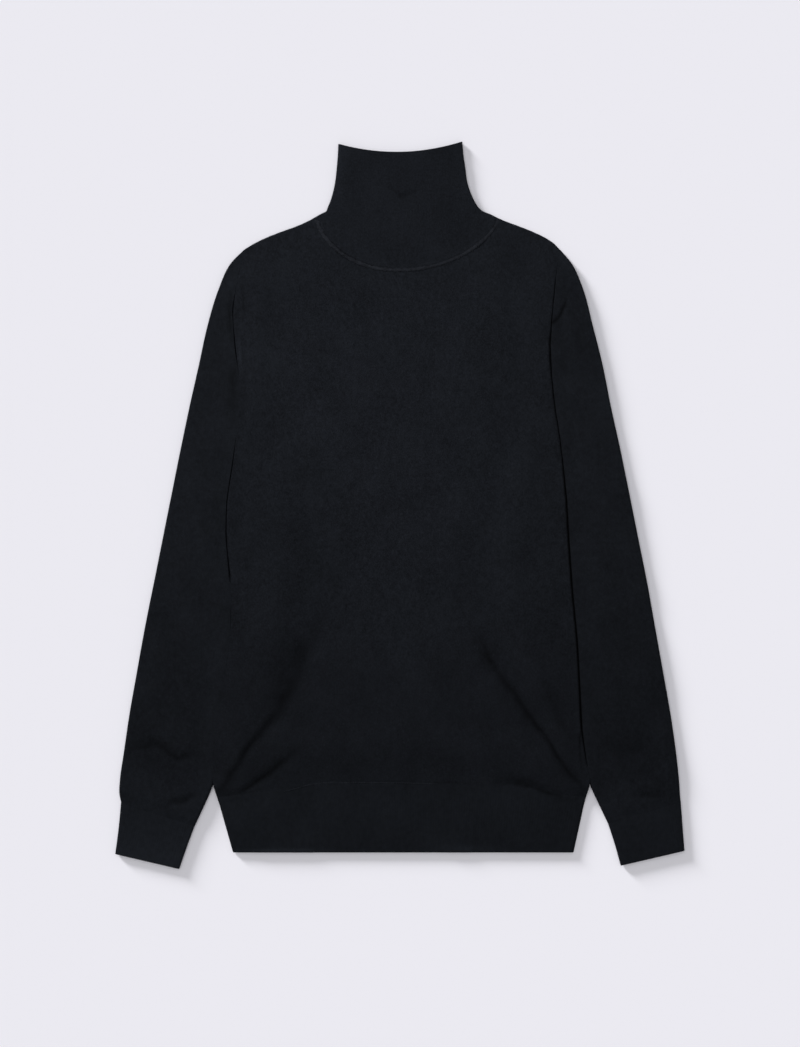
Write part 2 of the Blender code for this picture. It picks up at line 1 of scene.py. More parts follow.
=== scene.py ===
"""A black turtleneck sweater of fine wool knit, laid out flat with its front up.

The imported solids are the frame. Each of them is replaced by one piece of cloth of the same
place and form, with its folds, rolled edges, ribs and stitches. "Left" and "right" are
those of a viewer who looks down on the sweater with its collar away from them. Sizes are
in millimetres, and become metres where a mesh is made.
"""

import logging
from dataclasses import dataclass, field, replace
from enum import Enum
from typing import Callable, NamedTuple, Sequence

import bmesh
import bpy
import numpy as np
from mathutils import Euler, Matrix, Vector


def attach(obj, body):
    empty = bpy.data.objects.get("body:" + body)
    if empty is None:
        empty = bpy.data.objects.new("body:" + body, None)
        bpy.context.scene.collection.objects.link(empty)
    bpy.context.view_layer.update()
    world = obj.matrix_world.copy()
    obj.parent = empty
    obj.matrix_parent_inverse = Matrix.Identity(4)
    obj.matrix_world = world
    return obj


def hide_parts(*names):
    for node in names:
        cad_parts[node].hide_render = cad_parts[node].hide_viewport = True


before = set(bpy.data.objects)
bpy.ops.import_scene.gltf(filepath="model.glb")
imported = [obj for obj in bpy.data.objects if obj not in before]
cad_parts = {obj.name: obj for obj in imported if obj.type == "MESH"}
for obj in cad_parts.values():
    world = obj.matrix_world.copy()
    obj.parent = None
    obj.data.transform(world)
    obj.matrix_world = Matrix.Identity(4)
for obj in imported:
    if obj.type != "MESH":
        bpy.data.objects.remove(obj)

LOG = logging.getLogger("turtleneck")
MM = 0.001
BODY = "root"
CLOTH_MAP = "cloth"
PAINTED_LIGHT_AND_TONE = "crease"
MERGE_DISTANCE = 0.00001

Heights = Callable[[np.ndarray, np.ndarray], np.ndarray]


class Side(Enum):
    """A side of the sweater; the value is the sign of its x."""

    LEFT = -1
    RIGHT = 1


class Place(NamedTuple):
    """A point of the plan."""

    x: float
    y: float


class BodyRow(NamedTuple):
    """The body's two side edges at one height."""

    y: float
    left: float
    right: float

    def x(self, side: Side) -> float:
        """Return x of the edge on this side."""
        return self.left if side is Side.LEFT else self.right


class TubeRow(NamedTuple):
    """Where a section of a sleeve or cuff starts, at its outer fold, and where it ends."""

    outer_x: float
    outer_y: float
    inner_x: float
    inner_y: float
    bow: float = 0.0


class CollarRow(NamedTuple):
    """The collar's two folded edges at one height."""

    left_x: float
    left_y: float
    right_x: float
    right_y: float


class CreaseRow(NamedTuple):
    """One point of a fold's route, with the fold's depth and half width there."""

    x: float
    y: float
    depth: float
    width: float


class GrooveRow(NamedTuple):
    """A stretch of a side edge beside which the sleeve lies low, so that a groove shows."""

    top_y: float
    bottom_y: float
    depth: float
    top_fade: float
    bottom_fade: float


class LinkRow(NamedTuple):
    """How far outside the neck seam its linking lies, at a part of its way."""

    part: float
    outward: float


class CurlRow(NamedTuple):
    """A stretch of the hem's lower edge that curls up a little."""

    x: float
    half_width: float
    height: float
    rise: float = 2.0


def ease(value: np.ndarray) -> np.ndarray:
    """Return 0 below 0, 1 above 1 and a smooth rise between."""
    value = np.clip(value, 0.0, 1.0)
    return value * value * (3.0 - 2.0 * value)


def between(start: np.ndarray, end: np.ndarray, amount: np.ndarray) -> np.ndarray:
    """Return the value that lies this part of the way from start to end."""
    return start + (end - start) * amount


def hump(distance: np.ndarray, width: float) -> np.ndarray:
    """Return a bell curve of this half width."""
    return np.exp(-((distance / width) ** 2))


def in_groove(depth: np.ndarray, shallow: float = 0.3, fade: float = 0.8) -> np.ndarray:
    """Return how far the pile in a groove of this depth is hidden from the light."""
    return ease((depth - shallow) / fade)


def rolled(distance: np.ndarray, width: float) -> np.ndarray:
    """Return 1 on an edge, falling to 0 at this width from it along a quarter circle."""
    near = 1.0 - np.clip(distance / width, 0.0, 1.0)
    return 1.0 - np.sqrt(1.0 - near**2)


def through(rows: Sequence[tuple], fractions: np.ndarray) -> np.ndarray:
    """Sample a smooth curve through the rows.

    Args:
        rows: Points whose first two columns are their place in the plan.
        fractions: Parts of the curve's length in the plan, from 0 to 1.

    Returns:
        One row for each fraction, with as many columns as the rows have.
    """
    rows = np.asarray(rows, float)
    lengths = np.linalg.norm(np.diff(rows[:, :2], axis=0), axis=1)
    knots = np.concatenate([[0.0], np.cumsum(lengths)]) / lengths.sum()
    slopes = np.gradient(rows, knots, axis=0)
    fractions = np.atleast_1d(fractions)
    index = np.clip(np.searchsorted(knots, fractions, side="right") - 1, 0, len(knots) - 2)
    span = (knots[index + 1] - knots[index])[:, None]
    t = (fractions - knots[index])[:, None] / span
    return (
        rows[index] * (2 * t**3 - 3 * t**2 + 1)
        + slopes[index] * span * (t**3 - 2 * t**2 + t)
        + rows[index + 1] * (3 * t**2 - 2 * t**3)
        + slopes[index + 1] * span * (t**3 - t**2)
    )


def along_line(line: np.ndarray, places: np.ndarray) -> np.ndarray:
    """Return the points at these parts of a polyline's length."""
    steps = np.linalg.norm(np.diff(line, axis=0), axis=1)
    lengths = np.concatenate([[0.0], np.cumsum(steps)])
    wanted = places * lengths[-1]
    return np.stack([np.interp(wanted, lengths, column) for column in line.T], axis=1)


def line_length(line: np.ndarray) -> float:
    """Return a polyline's length."""
    return float(np.linalg.norm(np.diff(line, axis=0), axis=1).sum())


def moved_out(line: np.ndarray, distance: float) -> np.ndarray:
    """Return the plan line moved to its right-hand side as it runs."""
    along = np.gradient(line, axis=0)
    along /= np.linalg.norm(along, axis=1)[:, None]
    return line + distance * np.stack([along[:, 1], -along[:, 0]], axis=1)


def nearest(points: np.ndarray, line: np.ndarray) -> tuple[np.ndarray, np.ndarray]:
    """Measure how far points lie from a line of closely spaced samples.

    Args:
        points: Plan points, in any number of leading dimensions.
        line: The line's samples, one row each.

    Returns:
        The distances, and the part of the line's samples at which each is reached.
    """
    flat = points.reshape(-1, 2)
    best = np.full(len(flat), np.inf)
    place = np.zeros(len(flat))
    for index, sample in enumerate(line):
        distance = np.hypot(flat[:, 0] - sample[0], flat[:, 1] - sample[1])
        closer = distance < best
        best[closer] = distance[closer]
        place[closer] = index / (len(line) - 1)
    return best.reshape(points.shape[:-1]), place.reshape(points.shape[:-1])


def patch(
    bottom: np.ndarray,
    top: np.ndarray,
    left: np.ndarray,
    right: np.ndarray,
    across: np.ndarray,
    up: np.ndarray,
) -> np.ndarray:
    """Fill the plan between four edges with a grid.

    Args:
        bottom: Points of the lower edge, from left to right.
        top: Points of the upper edge, from left to right.
        left: Points of the left edge, upwards.
        right: Points of the right edge, upwards.
        across: From 0 to 1, one value for each column.
        up: From 0 to 1, one value for each row.

    Returns:
        The grid's points, as rows of columns of x and y.
    """
    u = across[None, :, None]
    v = up[:, None, None]
    rising = between(bottom[None], top[None], v)
    crossing = between(left[:, None], right[:, None], u)
    corners = between(between(bottom[0], bottom[-1], u), between(top[0], top[-1], u), v)
    return rising + crossing - corners


def crowded(count: int, edge_steps: Sequence[float], length: float) -> np.ndarray:
    """Return places from 0 to 1: these steps at both ends, then evenly between them."""
    edge = np.array(edge_steps) / length
    middle = np.linspace(edge[-1], 1.0 - edge[-1], count + 1)[1:-1]
    return np.concatenate([edge, middle, 1.0 - edge[::-1]])


@dataclass(frozen=True)
class Wool:
    """Walls and gaps of the cloth."""

    knit: float = 1.2
    rib: float = 1.6
    ply_gap: float = 0.4
    body_gap: float = 1.1
    slack: float = 0.1

    @property
    def sleeve_stack(self) -> float:
        """Height of a sleeve's two layers where they lie flat."""
        return 2.0 * self.knit + self.ply_gap

    @property
    def rib_stack(self) -> float:
        """Height of two layers of rib where they lie flat."""
        return 2.0 * self.rib + self.ply_gap


@dataclass(frozen=True)
class Ripples:
    """Low, uneven waves that cloth keeps where nothing pulls it flat."""

    seed: int
    height: float
    shortest: float
    longest: float
    count: int = 14

    def heights(self, x: np.ndarray, y: np.ndarray) -> np.ndarray:
        """Return the waves' height at plan points."""
        random = np.random.default_rng(self.seed)
        total = np.zeros_like(x)
        for _ in range(self.count):
            angle, phase = random.uniform(0.0, 2.0 * np.pi, 2)
            turn = 2.0 * np.pi / random.uniform(self.shortest, self.longest)
            total += np.sin(turn * (np.cos(angle) * x + np.sin(angle) * y) + phase)
        return self.height * total / np.sqrt(self.count / 2.0)


@dataclass(frozen=True)
class Crease:
    """A fold pressed into the cloth: a trough along a route, between two soft banks.

    Its colour is darkened along the trough, as painted shade for the fold. With a lean above 0
    its left side, as the route runs, is steeper than its right one; with a soft_left above 0
    the painted shade reaches further on that side. With a relief of 0 only the colour differs,
    and with a shade below 0 it is paler, for painted highlights and paler patches. It wanders
    and fades a little along its way, as ripples of a part of its width.
    """

    route: tuple[CreaseRow, ...]
    shade: float = 0.42
    lean: float = 0.0
    soft_left: float = 0.0
    bank: float = 0.15
    bank_distance: float = 2.0
    core_width: float = 0.5
    core_share: float = 0.4
    full_depth: float = 1.2
    relief: float = 1.0
    wander: Ripples = Ripples(seed=31, height=0.12, shortest=11.0, longest=36.0)
    samples: int = 200

    @classmethod
    def fold(cls, *rows: tuple[float, float, float, float], **looks: float) -> "Crease":
        """Make a fold from rows of x, y, depth and half width, with these looks."""
        return cls(tuple(CreaseRow(*row) for row in rows), **looks)

    @classmethod
    def mark(cls, *rows: tuple[float, float, float, float], shade: float) -> "Crease":
        """Make a mark in the colour alone, without relief, from rows like those of a fold."""
        return cls.fold(*rows, shade=shade, full_depth=1.0, relief=0.0)

    def measure(self, x: np.ndarray, y: np.ndarray) -> tuple[np.ndarray, np.ndarray]:
        """Find the fold's form at plan points.

        Args:
            x: The points' x.
            y: The points' y.

        Returns:
            The height that the fold adds, and the part by which its colour is darkened, as painted
            shade.
        """
        steps = np.linspace(0.0, 1.0, self.samples)
        line = through(self.route, steps)
        distance, place = nearest(np.stack([x, y], axis=-1), line[:, :2])
        own_x, own_y, depth, width = (np.interp(place, steps, column) for column in line.T)
        ahead_x, ahead_y = (
            np.interp(place, steps, np.gradient(column)) for column in line.T[:2]
        )
        on_left = np.sign(ahead_x * (y - own_y) - ahead_y * (x - own_x))
        wander = self.wander.heights(own_x, own_y)
        distance = np.abs(distance * on_left + wander * width)
        form = width * (1.0 - self.lean * on_left)
        bank = self.bank * np.exp(-((distance / form - self.bank_distance) ** 2))
        height = self.relief * depth * (bank - hump(distance, form))
        reach = width * (1.0 + self.soft_left * on_left)
        core = hump(distance, self.core_width * reach)
        dark = between(hump(distance, reach), core, self.core_share)
        shade = self.shade * (1.0 + wander) * np.clip(depth / self.full_depth, 0.0, 1.0)
        return height, shade * dark


def fold_cloth(
    creases: Sequence[Crease], x: np.ndarray, y: np.ndarray
) -> tuple[np.ndarray, np.ndarray]:
    """Add up the form of several folds.

    Args:
        creases: The folds.
        x: The points' x.
        y: The points' y.

    Returns:
        The height that they add, and the part by which the colour is darkened, as painted shade.
    """
    height = np.zeros_like(x)
    light = np.ones_like(x)
    for crease in creases:
        added, dark = crease.measure(x, y)
        height += added
        light *= 1.0 - dark
    return height, 1.0 - light


@dataclass(frozen=True)
class Neck:
    """The seam between the body and the collar."""

    left: Place = Place(-87.5, 309.0)
    right: Place = Place(103.2, 307.0)
    front_depth: float = 56.2
    back_depth: float = 16.0
    rounding: float = 0.62
    skew: float = 0.08

    def curve(
        self,
        steps: np.ndarray,
        depth: float,
        rounding: float,
        skew: float,
        ends: tuple[Sequence[float], Sequence[float]],
    ) -> np.ndarray:
        """Draw a scooped line.

        Args:
            steps: Places across it, from -1 to 1.
            depth: How far it scoops below its ends.
            rounding: 0.5 is a half ellipse and 1 is a parabola.
            skew: Moves the lowest point towards the left.
            ends: Its left and right end in the plan.

        Returns:
            One plan point for each step.
        """
        left, right = ends
        shifted = steps + skew * (1.0 - steps**2)
        x = between(left[0], right[0], (steps + 1.0) / 2.0)
        y = between(left[1], right[1], (steps + 1.0) / 2.0)
        return np.stack([x, y - depth * (1.0 - shifted**2) ** rounding], axis=-1)

    def steps(self, columns: int) -> np.ndarray:
        """Return places across the neck, closer together where it turns up."""
        return -np.cos(np.linspace(0.0, np.pi, columns + 1))

    def seam(self, columns: int, depth: float) -> np.ndarray:
        """Return the seam's plan points at this depth."""
        ends = (self.left, self.right)
        return self.curve(self.steps(columns), depth, self.rounding, self.skew, ends)


@dataclass(frozen=True)
class Outline:
    """The body's outline: its sides, its shoulders and the hem seam."""

    rows: tuple[BodyRow, ...] = (
        BodyRow(-312.0, -194.8, 198.0),
        BodyRow(-298.1, -198.6, 201.8),
        BodyRow(-268.2, -198.0, 197.5),
        BodyRow(-240.5, -195.9, 193.8),
        BodyRow(-197.8, -188.9, 191.6),
        BodyRow(-144.4, -181.5, 188.7),
        BodyRow(-91.0, -179.9, 183.6),
        BodyRow(-31.2, -184.9, 179.4),
        BodyRow(5.1, -183.9, 177.4),
        BodyRow(42.4, -178.3, 173.5),
        BodyRow(74.5, -174.5, 169.6),
        BodyRow(103.3, -172.4, 164.9),
        BodyRow(135.3, -171.5, 161.5),
        BodyRow(170.5, -175.4, 159.6),
        BodyRow(207.9, -177.7, 162.3),
        BodyRow(239.9, -172.9, 165.5),
        BodyRow(273.5, -165.2, 169.8),
    )
    underarm_y: float = 74.5
    tip_inset: float = 0.6
    tip_share: float = 0.05
    tip_fade: float = 0.2
    armhole_inset: float = 2.6
    left_shoulder: tuple[Place, ...] = (
        Place(-165.2, 273.5),
        Place(-156.9, 278.4),
        Place(-144.1, 284.8),
        Place(-128.1, 291.2),
        Place(-110.0, 297.8),
        Place(-97.1, 303.6),
        Place(-87.5, 309.0),
    )
    right_shoulder: tuple[Place, ...] = (
        Place(103.2, 307.0),
        Place(110.5, 303.8),
        Place(127.0, 297.6),
        Place(142.9, 291.2),
        Place(155.9, 284.8),
        Place(165.2, 278.4),
        Place(169.8, 273.5),
    )
    seam_middle_y: float = -296.0
    seam_drop: float = 16.0
    seam_round: float = 1.8
    edge_samples: int = 260
    left_grooves: tuple[GrooveRow, ...] = (
        GrooveRow(top_y=238.0, bottom_y=140.0, depth=0.45, top_fade=20.0, bottom_fade=26.0),
        GrooveRow(top_y=92.0, bottom_y=-84.0, depth=0.44, top_fade=60.0, bottom_fade=10.0),
        GrooveRow(top_y=10.0, bottom_y=-84.0, depth=0.17, top_fade=50.0, bottom_fade=10.0),
    )
    right_grooves: tuple[GrooveRow, ...] = (
        GrooveRow(top_y=256.0, bottom_y=-294.0, depth=0.38, top_fade=20.0, bottom_fade=30.0),
        GrooveRow(top_y=196.0, bottom_y=-294.0, depth=0.2, top_fade=24.0, bottom_fade=30.0),
        GrooveRow(top_y=192.0, bottom_y=136.0, depth=0.22, top_fade=24.0, bottom_fade=16.0),
        GrooveRow(top_y=56.0, bottom_y=-262.0, depth=0.53, top_fade=40.0, bottom_fade=40.0),
    )

    def edge(self, side: Side, y: np.ndarray) -> np.ndarray:
        """Return x of one side edge at height y."""
        xs = [row.x(side) for row in self.rows]
        return np.interp(y, [row.y for row in self.rows], xs)

    def outside(self, side: Side, x: np.ndarray, y: np.ndarray) -> np.ndarray:
        """Return how far points lie outside one side edge."""
        return side.value * (x - self.edge(side, y))

    def grooved(self, side: Side, y: np.ndarray) -> np.ndarray:
        """Return how deep a groove runs between this edge and the sleeve, from 0 to 1."""
        total = np.zeros_like(y)
        for row in self.left_grooves if side is Side.LEFT else self.right_grooves:
            below_top = ease((row.top_y - y) / row.top_fade)
            total += row.depth * below_top * ease((y - row.bottom_y) / row.bottom_fade)
        return total

    def side_line(self, side: Side, places: np.ndarray) -> np.ndarray:
        """Return points of one side, from the hem seam to the shoulder's tip."""
        return through([(row.x(side), row.y) for row in self.rows], places)

    def armhole(self, side: Side, samples: int) -> np.ndarray:
        """Return the armhole line from the shoulder's tip down, just beneath the body."""
        rows = [row for row in self.rows[::-1] if row.y >= self.underarm_y]
        table = [(row.x(side), row.y) for row in rows]
        steps = np.linspace(0.0, 1.0, samples)[:, None]
        beyond_tip = ease((steps - self.tip_share) / self.tip_fade)
        inset = between(self.tip_inset, self.armhole_inset, beyond_tip)
        return moved_out(through(table, steps[:, 0]), side.value * inset)

    def seam_y(self, across: np.ndarray) -> np.ndarray:
        """Return the height of the hem seam, from -1 at its left end to 1."""
        return self.seam_middle_y - self.seam_drop * np.abs(across) ** self.seam_round

    def hem_seam(self, places: np.ndarray) -> np.ndarray:
        """Return points of the hem seam, from left to right."""
        lowest = self.rows[0]
        x = between(lowest.left, lowest.right, places)
        return np.stack([x, self.seam_y(2.0 * places - 1.0)], axis=1)

    def from_edges(self, plan: np.ndarray) -> tuple[np.ndarray, np.ndarray]:
        """Return how far plan points lie from the sides, and from the shoulders."""
        places = np.linspace(0.0, 1.0, self.edge_samples)
        sides = [self.side_line(side, places) for side in Side]
        tops = [through(self.left_shoulder, places), through(self.right_shoulder, places)]
        from_sides, from_tops = (
            np.minimum(nearest(plan, pair[0])[0], nearest(plan, pair[1])[0])
            for pair in (sides, tops)
        )
        return from_sides, from_tops


LEFT_SLEEVE_ROWS = (
    TubeRow(-165.6, 273.4, -174.5, 74.5, 1.0),
    TubeRow(-181.2, 257.0, -170.3, 61.6, 0.7),
    TubeRow(-193.9, 229.2, -160.7, 46.7, 0.45),
    TubeRow(-205.2, 191.9, -150.0, 28.6, 0.25),
    TubeRow(-214.6, 149.2, -141.4, 5.1, 0.1),
    TubeRow(-224.2, 106.5, -137.2, -21.6),
    TubeRow(-233.8, 60.6, -137.2, -54.7),
    TubeRow(-243.9, 10.4, -140.4, -91.0),
    TubeRow(-253.5, -37.6, -146.8, -128.4),
    TubeRow(-263.1, -85.7, -154.3, -160.4),
    TubeRow(-272.7, -133.7, -163.9, -192.4),
    TubeRow(-281.3, -181.7, -174.5, -221.2),
    TubeRow(-288.8, -224.4, -184.1, -251.1),
    TubeRow(-294.6, -263.9, -192.7, -277.8),
    TubeRow(-298.6, -292.0, -201.2, -303.4),
    TubeRow(-299.2, -308.0, -209.8, -322.7),
    TubeRow(-297.4, -317.3, -218.8, -341.9),
)
RIGHT_SLEEVE_ROWS = (
    TubeRow(170.2, 273.4, 169.6, 74.5, 1.0),
    TubeRow(183.6, 257.0, 165.4, 61.6, 0.7),
    TubeRow(195.0, 231.4, 156.5, 46.7, 0.45),
    TubeRow(205.5, 191.9, 147.0, 28.6, 0.25),
    TubeRow(216.2, 149.2, 139.0, 5.1, 0.1),
    TubeRow(224.7, 106.5, 136.0, -21.6),
    TubeRow(234.8, 60.6, 137.0, -54.7),
    TubeRow(245.0, 10.4, 141.0, -91.0),
    TubeRow(254.6, -37.6, 148.0, -128.4),
    TubeRow(264.2, -85.7, 156.0, -160.4),
    TubeRow(272.7, -133.7, 166.0, -192.4),
    TubeRow(281.3, -181.7, 177.0, -221.2),
    TubeRow(288.8, -224.4, 187.0, -251.1),
    TubeRow(294.4, -263.9, 196.0, -277.8),
    TubeRow(297.6, -293.8, 204.2, -301.8),
    TubeRow(298.7, -309.8, 212.8, -320.5),
    TubeRow(299.2, -316.0, 221.6, -339.0),
)
LEFT_CUFF_ROWS = (
    TubeRow(-297.6, -317.9, -219.1, -342.4),
    TubeRow(-300.2, -345.0, -227.6, -365.2),
    TubeRow(-303.7, -371.8, -235.4, -387.8),
)
RIGHT_CUFF_ROWS = (
    TubeRow(299.4, -316.5, 221.9, -339.5),
    TubeRow(301.4, -342.5, 229.2, -362.0),
    TubeRow(303.4, -368.4, 235.4, -384.2),
)
# Folds with painted shade in their troughs, and marks in the colour alone: painted shade, painted
# highlights and patches of tone
FRONT_CREASES = (
    # Long fold from the belly to the hem's left corner
    Crease.fold(
        (-83.5, -114.0, 0.3, 12.0),
        (-97.8, -152.0, 0.85, 13.0),
        (-109.0, -177.0, 1.1, 12.0),
        (-117.8, -198.8, 1.25, 11.0),
        (-132.6, -223.3, 1.3, 8.6),
        (-147.0, -240.6, 1.3, 6.0),
        (-160.1, -257.5, 1.3, 4.8),
        (-169.5, -271.6, 1.1, 4.8),
        (-179.0, -286.6, 1.0, 5.5),
        (-184.5, -295.0, 0.9, 5.5),
        (-189.0, -302.0, 0.5, 5.0),
        (-191.5, -309.0, 0.1, 4.5),
        shade=0.45,
        lean=-0.45,
        soft_left=-0.2,
    ),
    # Short fold beneath it
    Crease.fold(
        (-108.0, -258.0, 0.3, 6.0),
        (-116.4, -265.5, 0.7, 6.0),
        (-130.2, -277.0, 1.1, 6.0),
        (-150.5, -293.0, 1.4, 4.2),
        (-160.5, -299.6, 1.5, 3.3),
        (-168.0, -304.0, 1.0, 2.8),
        (-174.0, -307.4, 0.1, 2.2),
        shade=0.62,
        soft_left=0.3,
    ),
    # Long fold from the belly to the hem's right corner
    Crease.fold(
        (84.0, -136.0, 0.3, 8.0),
        (93.5, -156.7, 0.8, 7.5),
        (105.0, -178.0, 0.85, 6.5),
        (120.6, -200.4, 1.2, 5.5),
        (133.4, -218.6, 1.3, 5.2),
        (146.2, -235.7, 1.4, 4.2),
        (160.1, -253.8, 1.4, 3.6),
        (170.8, -272.0, 1.3, 4.2),
        (181.5, -287.0, 1.1, 5.0),
        (191.0, -296.5, 0.9, 5.2),
        (197.0, -303.0, 0.4, 4.5),
        shade=0.6,
        soft_left=-0.15,
        core_share=0.48,
    ),
    # Short fold beneath it, along the hem
    Crease.fold(
        (96.0, -300.5, 0.1, 5.5),
        (112.0, -297.0, 0.6, 6.0),
        (129.1, -297.0, 1.3, 6.2),
        (142.0, -301.2, 1.5, 5.0),
        (155.8, -306.4, 1.5, 3.6),
        (166.5, -309.6, 1.2, 2.8),
        (175.0, -312.0, 0.1, 2.2),
        shade=0.52,
        soft_left=0.35,
    ),
    # Soft fold outside the long one
    Crease.fold(
        (130.0, -135.0, 0.1, 8.0),
        (146.0, -164.0, 0.3, 8.0),
        (155.9, -191.0, 0.5, 7.0),
        (170.0, -225.0, 0.5, 6.5),
        (181.5, -247.4, 0.4, 6.0),
        (186.0, -262.0, 0.1, 6.0),
        shade=0.36,
    ),
    # Small dent above the left folds
    Crease.fold(
        (-111.0, -90.5, 0.1, 6.0),
        (-116.0, -102.0, 0.3, 6.0),
        (-121.7, -114.0, 0.1, 6.0),
    ),
    # Pinch along the right edge
    Crease.fold(
        (193.2, -234.0, 0.1, 1.1),
        (191.6, -249.5, 0.7, 1.1),
        (192.6, -273.0, 0.5, 1.1),
        (194.8, -286.0, 0.2, 1.1),
        shade=0.6,
        full_depth=0.7,
    ),
    # Low ridge beside the left armhole
    Crease.fold(
        (-172.4, 196.0, -0.1, 1.8),
        (-170.6, 176.0, -0.6, 2.0),
        (-168.6, 156.0, -0.8, 2.2),
        (-167.4, 140.0, -0.1, 2.2),
    ),
    # Painted highlight on its crest
    Crease.mark(
        (-172.4, 196.0, 0.1, 1.8),
        (-171.0, 176.0, 0.6, 1.8),
        (-169.4, 156.0, 1.0, 2.0),
        (-168.0, 140.0, 0.1, 2.2),
        shade=-0.3,
    ),
    # Soft dip above the ridge
    Crease.fold(
        (-172.0, 212.0, 0.2, 5.0),
        (-171.0, 192.0, 0.4, 5.0),
        (-170.0, 180.0, 0.1, 5.0),
        shade=0.4,
    ),
    # Soft dip below the ridge
    Crease.fold(
        (-168.0, 142.0, 0.2, 5.0),
        (-168.5, 126.0, 0.5, 6.0),
        (-168.0, 102.0, 0.4, 6.0),
        (-170.0, 80.0, 0.1, 6.0),
        shade=0.36,
    ),
    # Soft fold inside the left long one
    Crease.fold(
        (-93.0, -128.0, 0.1, 8.0),
        (-108.0, -152.0, 0.5, 9.0),
        (-122.0, -180.0, 0.6, 8.0),
        (-140.0, -212.0, 0.4, 7.0),
        (-158.0, -240.0, 0.1, 6.0),
        shade=0.3,
    ),
    # Thin crease at the top of the left armhole
    Crease.fold(
        (-168.4, 242.0, 0.1, 1.6),
        (-168.0, 231.0, 0.6, 1.6),
        (-166.8, 215.0, 0.5, 1.6),
        (-166.4, 203.0, 0.1, 1.6),
        shade=0.45,
        full_depth=0.5,
    ),
    # Shaded line above the hem's linking
    Crease.mark(
        (-84.0, -294.2, 0.2, 0.9),
        (-60.0, -293.8, 0.6, 0.9),
        (-32.0, -294.0, 0.8, 0.9),
        (-14.0, -294.0, 1.0, 1.0),
        (14.0, -294.2, 0.6, 0.9),
        (28.0, -294.8, 0.2, 0.8),
        (40.0, -295.2, 0.8, 1.0),
        (75.0, -297.1, 0.5, 1.0),
        (92.0, -298.3, 0.1, 1.0),
        shade=0.2,
    ),
    # Painted highlight along the linking
    Crease.mark(
        (-122.0, -304.6, 0.1, 1.0),
        (-108.0, -301.2, 0.5, 1.1),
        (-96.0, -298.0, 0.6, 1.1),
        (-82.0, -296.0, 0.9, 1.2),
        (-60.0, -295.8, 1.0, 1.2),
        (-32.0, -296.0, 1.0, 1.2),
        (-6.0, -296.2, 0.7, 1.1),
        (24.0, -296.6, 0.3, 1.1),
        shade=-0.26,
    ),
    # Painted light at the hem's right corner, where the front slopes down to the hem
    Crease.mark(
        (166.0, -301.5, 0.1, 3.4),
        (174.0, -304.5, 1.0, 3.8),
        (184.0, -305.0, 1.0, 3.8),
        (193.0, -305.0, 0.4, 3.4),
        shade=-0.2,
    ),
    # Darker patch right of the middle
    Crease.mark(
        (62.0, 0.0, 0.1, 18.0),
        (62.0, -30.0, 0.9, 22.0),
        (64.0, -66.0, 1.0, 22.0),
        (60.0, -100.0, 0.1, 18.0),
        shade=0.1,
    ),
    # Paler patch at the belly
    Crease.mark(
        (8.0, -118.0, 0.1, 18.0),
        (8.0, -146.0, 1.0, 22.0),
        (6.0, -178.0, 0.1, 20.0),
        shade=-0.1,
    ),
    # Paler patch on the left chest
    Crease.mark(
        (-166.0, 160.0, 0.2, 12.0),
        (-145.0, 154.0, 0.8, 17.0),
        (-118.0, 148.0, 1.0, 18.0),
        (-94.0, 150.0, 0.2, 13.0),
        shade=-0.12,
    ),
    # Paler patch down the middle
    Crease.mark(
        (-20.0, -40.0, 0.1, 22.0),
        (-26.0, -80.0, 0.8, 32.0),
        (-18.0, -120.0, 1.0, 34.0),
        (-24.0, -162.0, 0.5, 28.0),
        (-26.0, -190.0, 0.1, 20.0),
        shade=-0.15,
    ),
    # Darker patch from the left side inwards
    Crease.mark(
        (-176.0, -62.0, 0.2, 24.0),
        (-140.0, -38.0, 0.7, 28.0),
        (-92.0, -20.0, 1.0, 30.0),
        (-60.0, -8.0, 0.2, 26.0),
        shade=0.13,
    ),
    # Darker strip along the left side
    Crease.mark(
        (-171.0, 100.0, 0.2, 8.0),
        (-176.0, 44.0, 1.0, 8.0),
        (-176.0, -20.0, 1.0, 9.0),
        (-172.0, -72.0, 0.3, 9.0),
        shade=0.12,
    ),
)
NECK_LINKING = (
    LinkRow(part=0.0, outward=0.8),
    LinkRow(part=0.04, outward=1.5),
    LinkRow(part=0.08, outward=2.1),
    LinkRow(part=0.2, outward=2.4),
    LinkRow(part=0.29, outward=2.7),
    LinkRow(part=0.4, outward=1.9),
    LinkRow(part=0.48, outward=1.0),
    LinkRow(part=1.0, outward=0.9),
)
HEM_LINKING = (
    Place(-124.0, -305.4),
    Place(-110.0, -301.8),
    Place(-96.0, -298.0),
    Place(-82.0, -296.0),
    Place(-60.0, -295.7),
    Place(-32.0, -295.9),
    Place(0.0, -296.2),
    Place(40.0, -297.0),
)
HEM_HIGHLIGHTS = (
    # Painted highlight on the curled edge, left of the middle
    Crease.mark(
        (-180.0, -367.6, 0.1, 1.5),
        (-165.0, -367.6, 0.7, 1.5),
        (-112.0, -367.2, 1.0, 2.2),
        (-78.0, -367.5, 0.6, 1.6),
        (-40.0, -367.6, 0.1, 1.3),
        shade=-0.33,
    ),
    # Painted highlight on the curled edge, right of the middle
    Crease.mark(
        (32.0, -366.4, 0.1, 2.8),
        (48.0, -365.8, 0.6, 3.6),
        (66.0, -365.6, 1.0, 3.8),
        (92.0, -365.8, 0.7, 3.6),
        (126.0, -366.6, 0.1, 2.8),
        shade=-0.4,
    ),
)
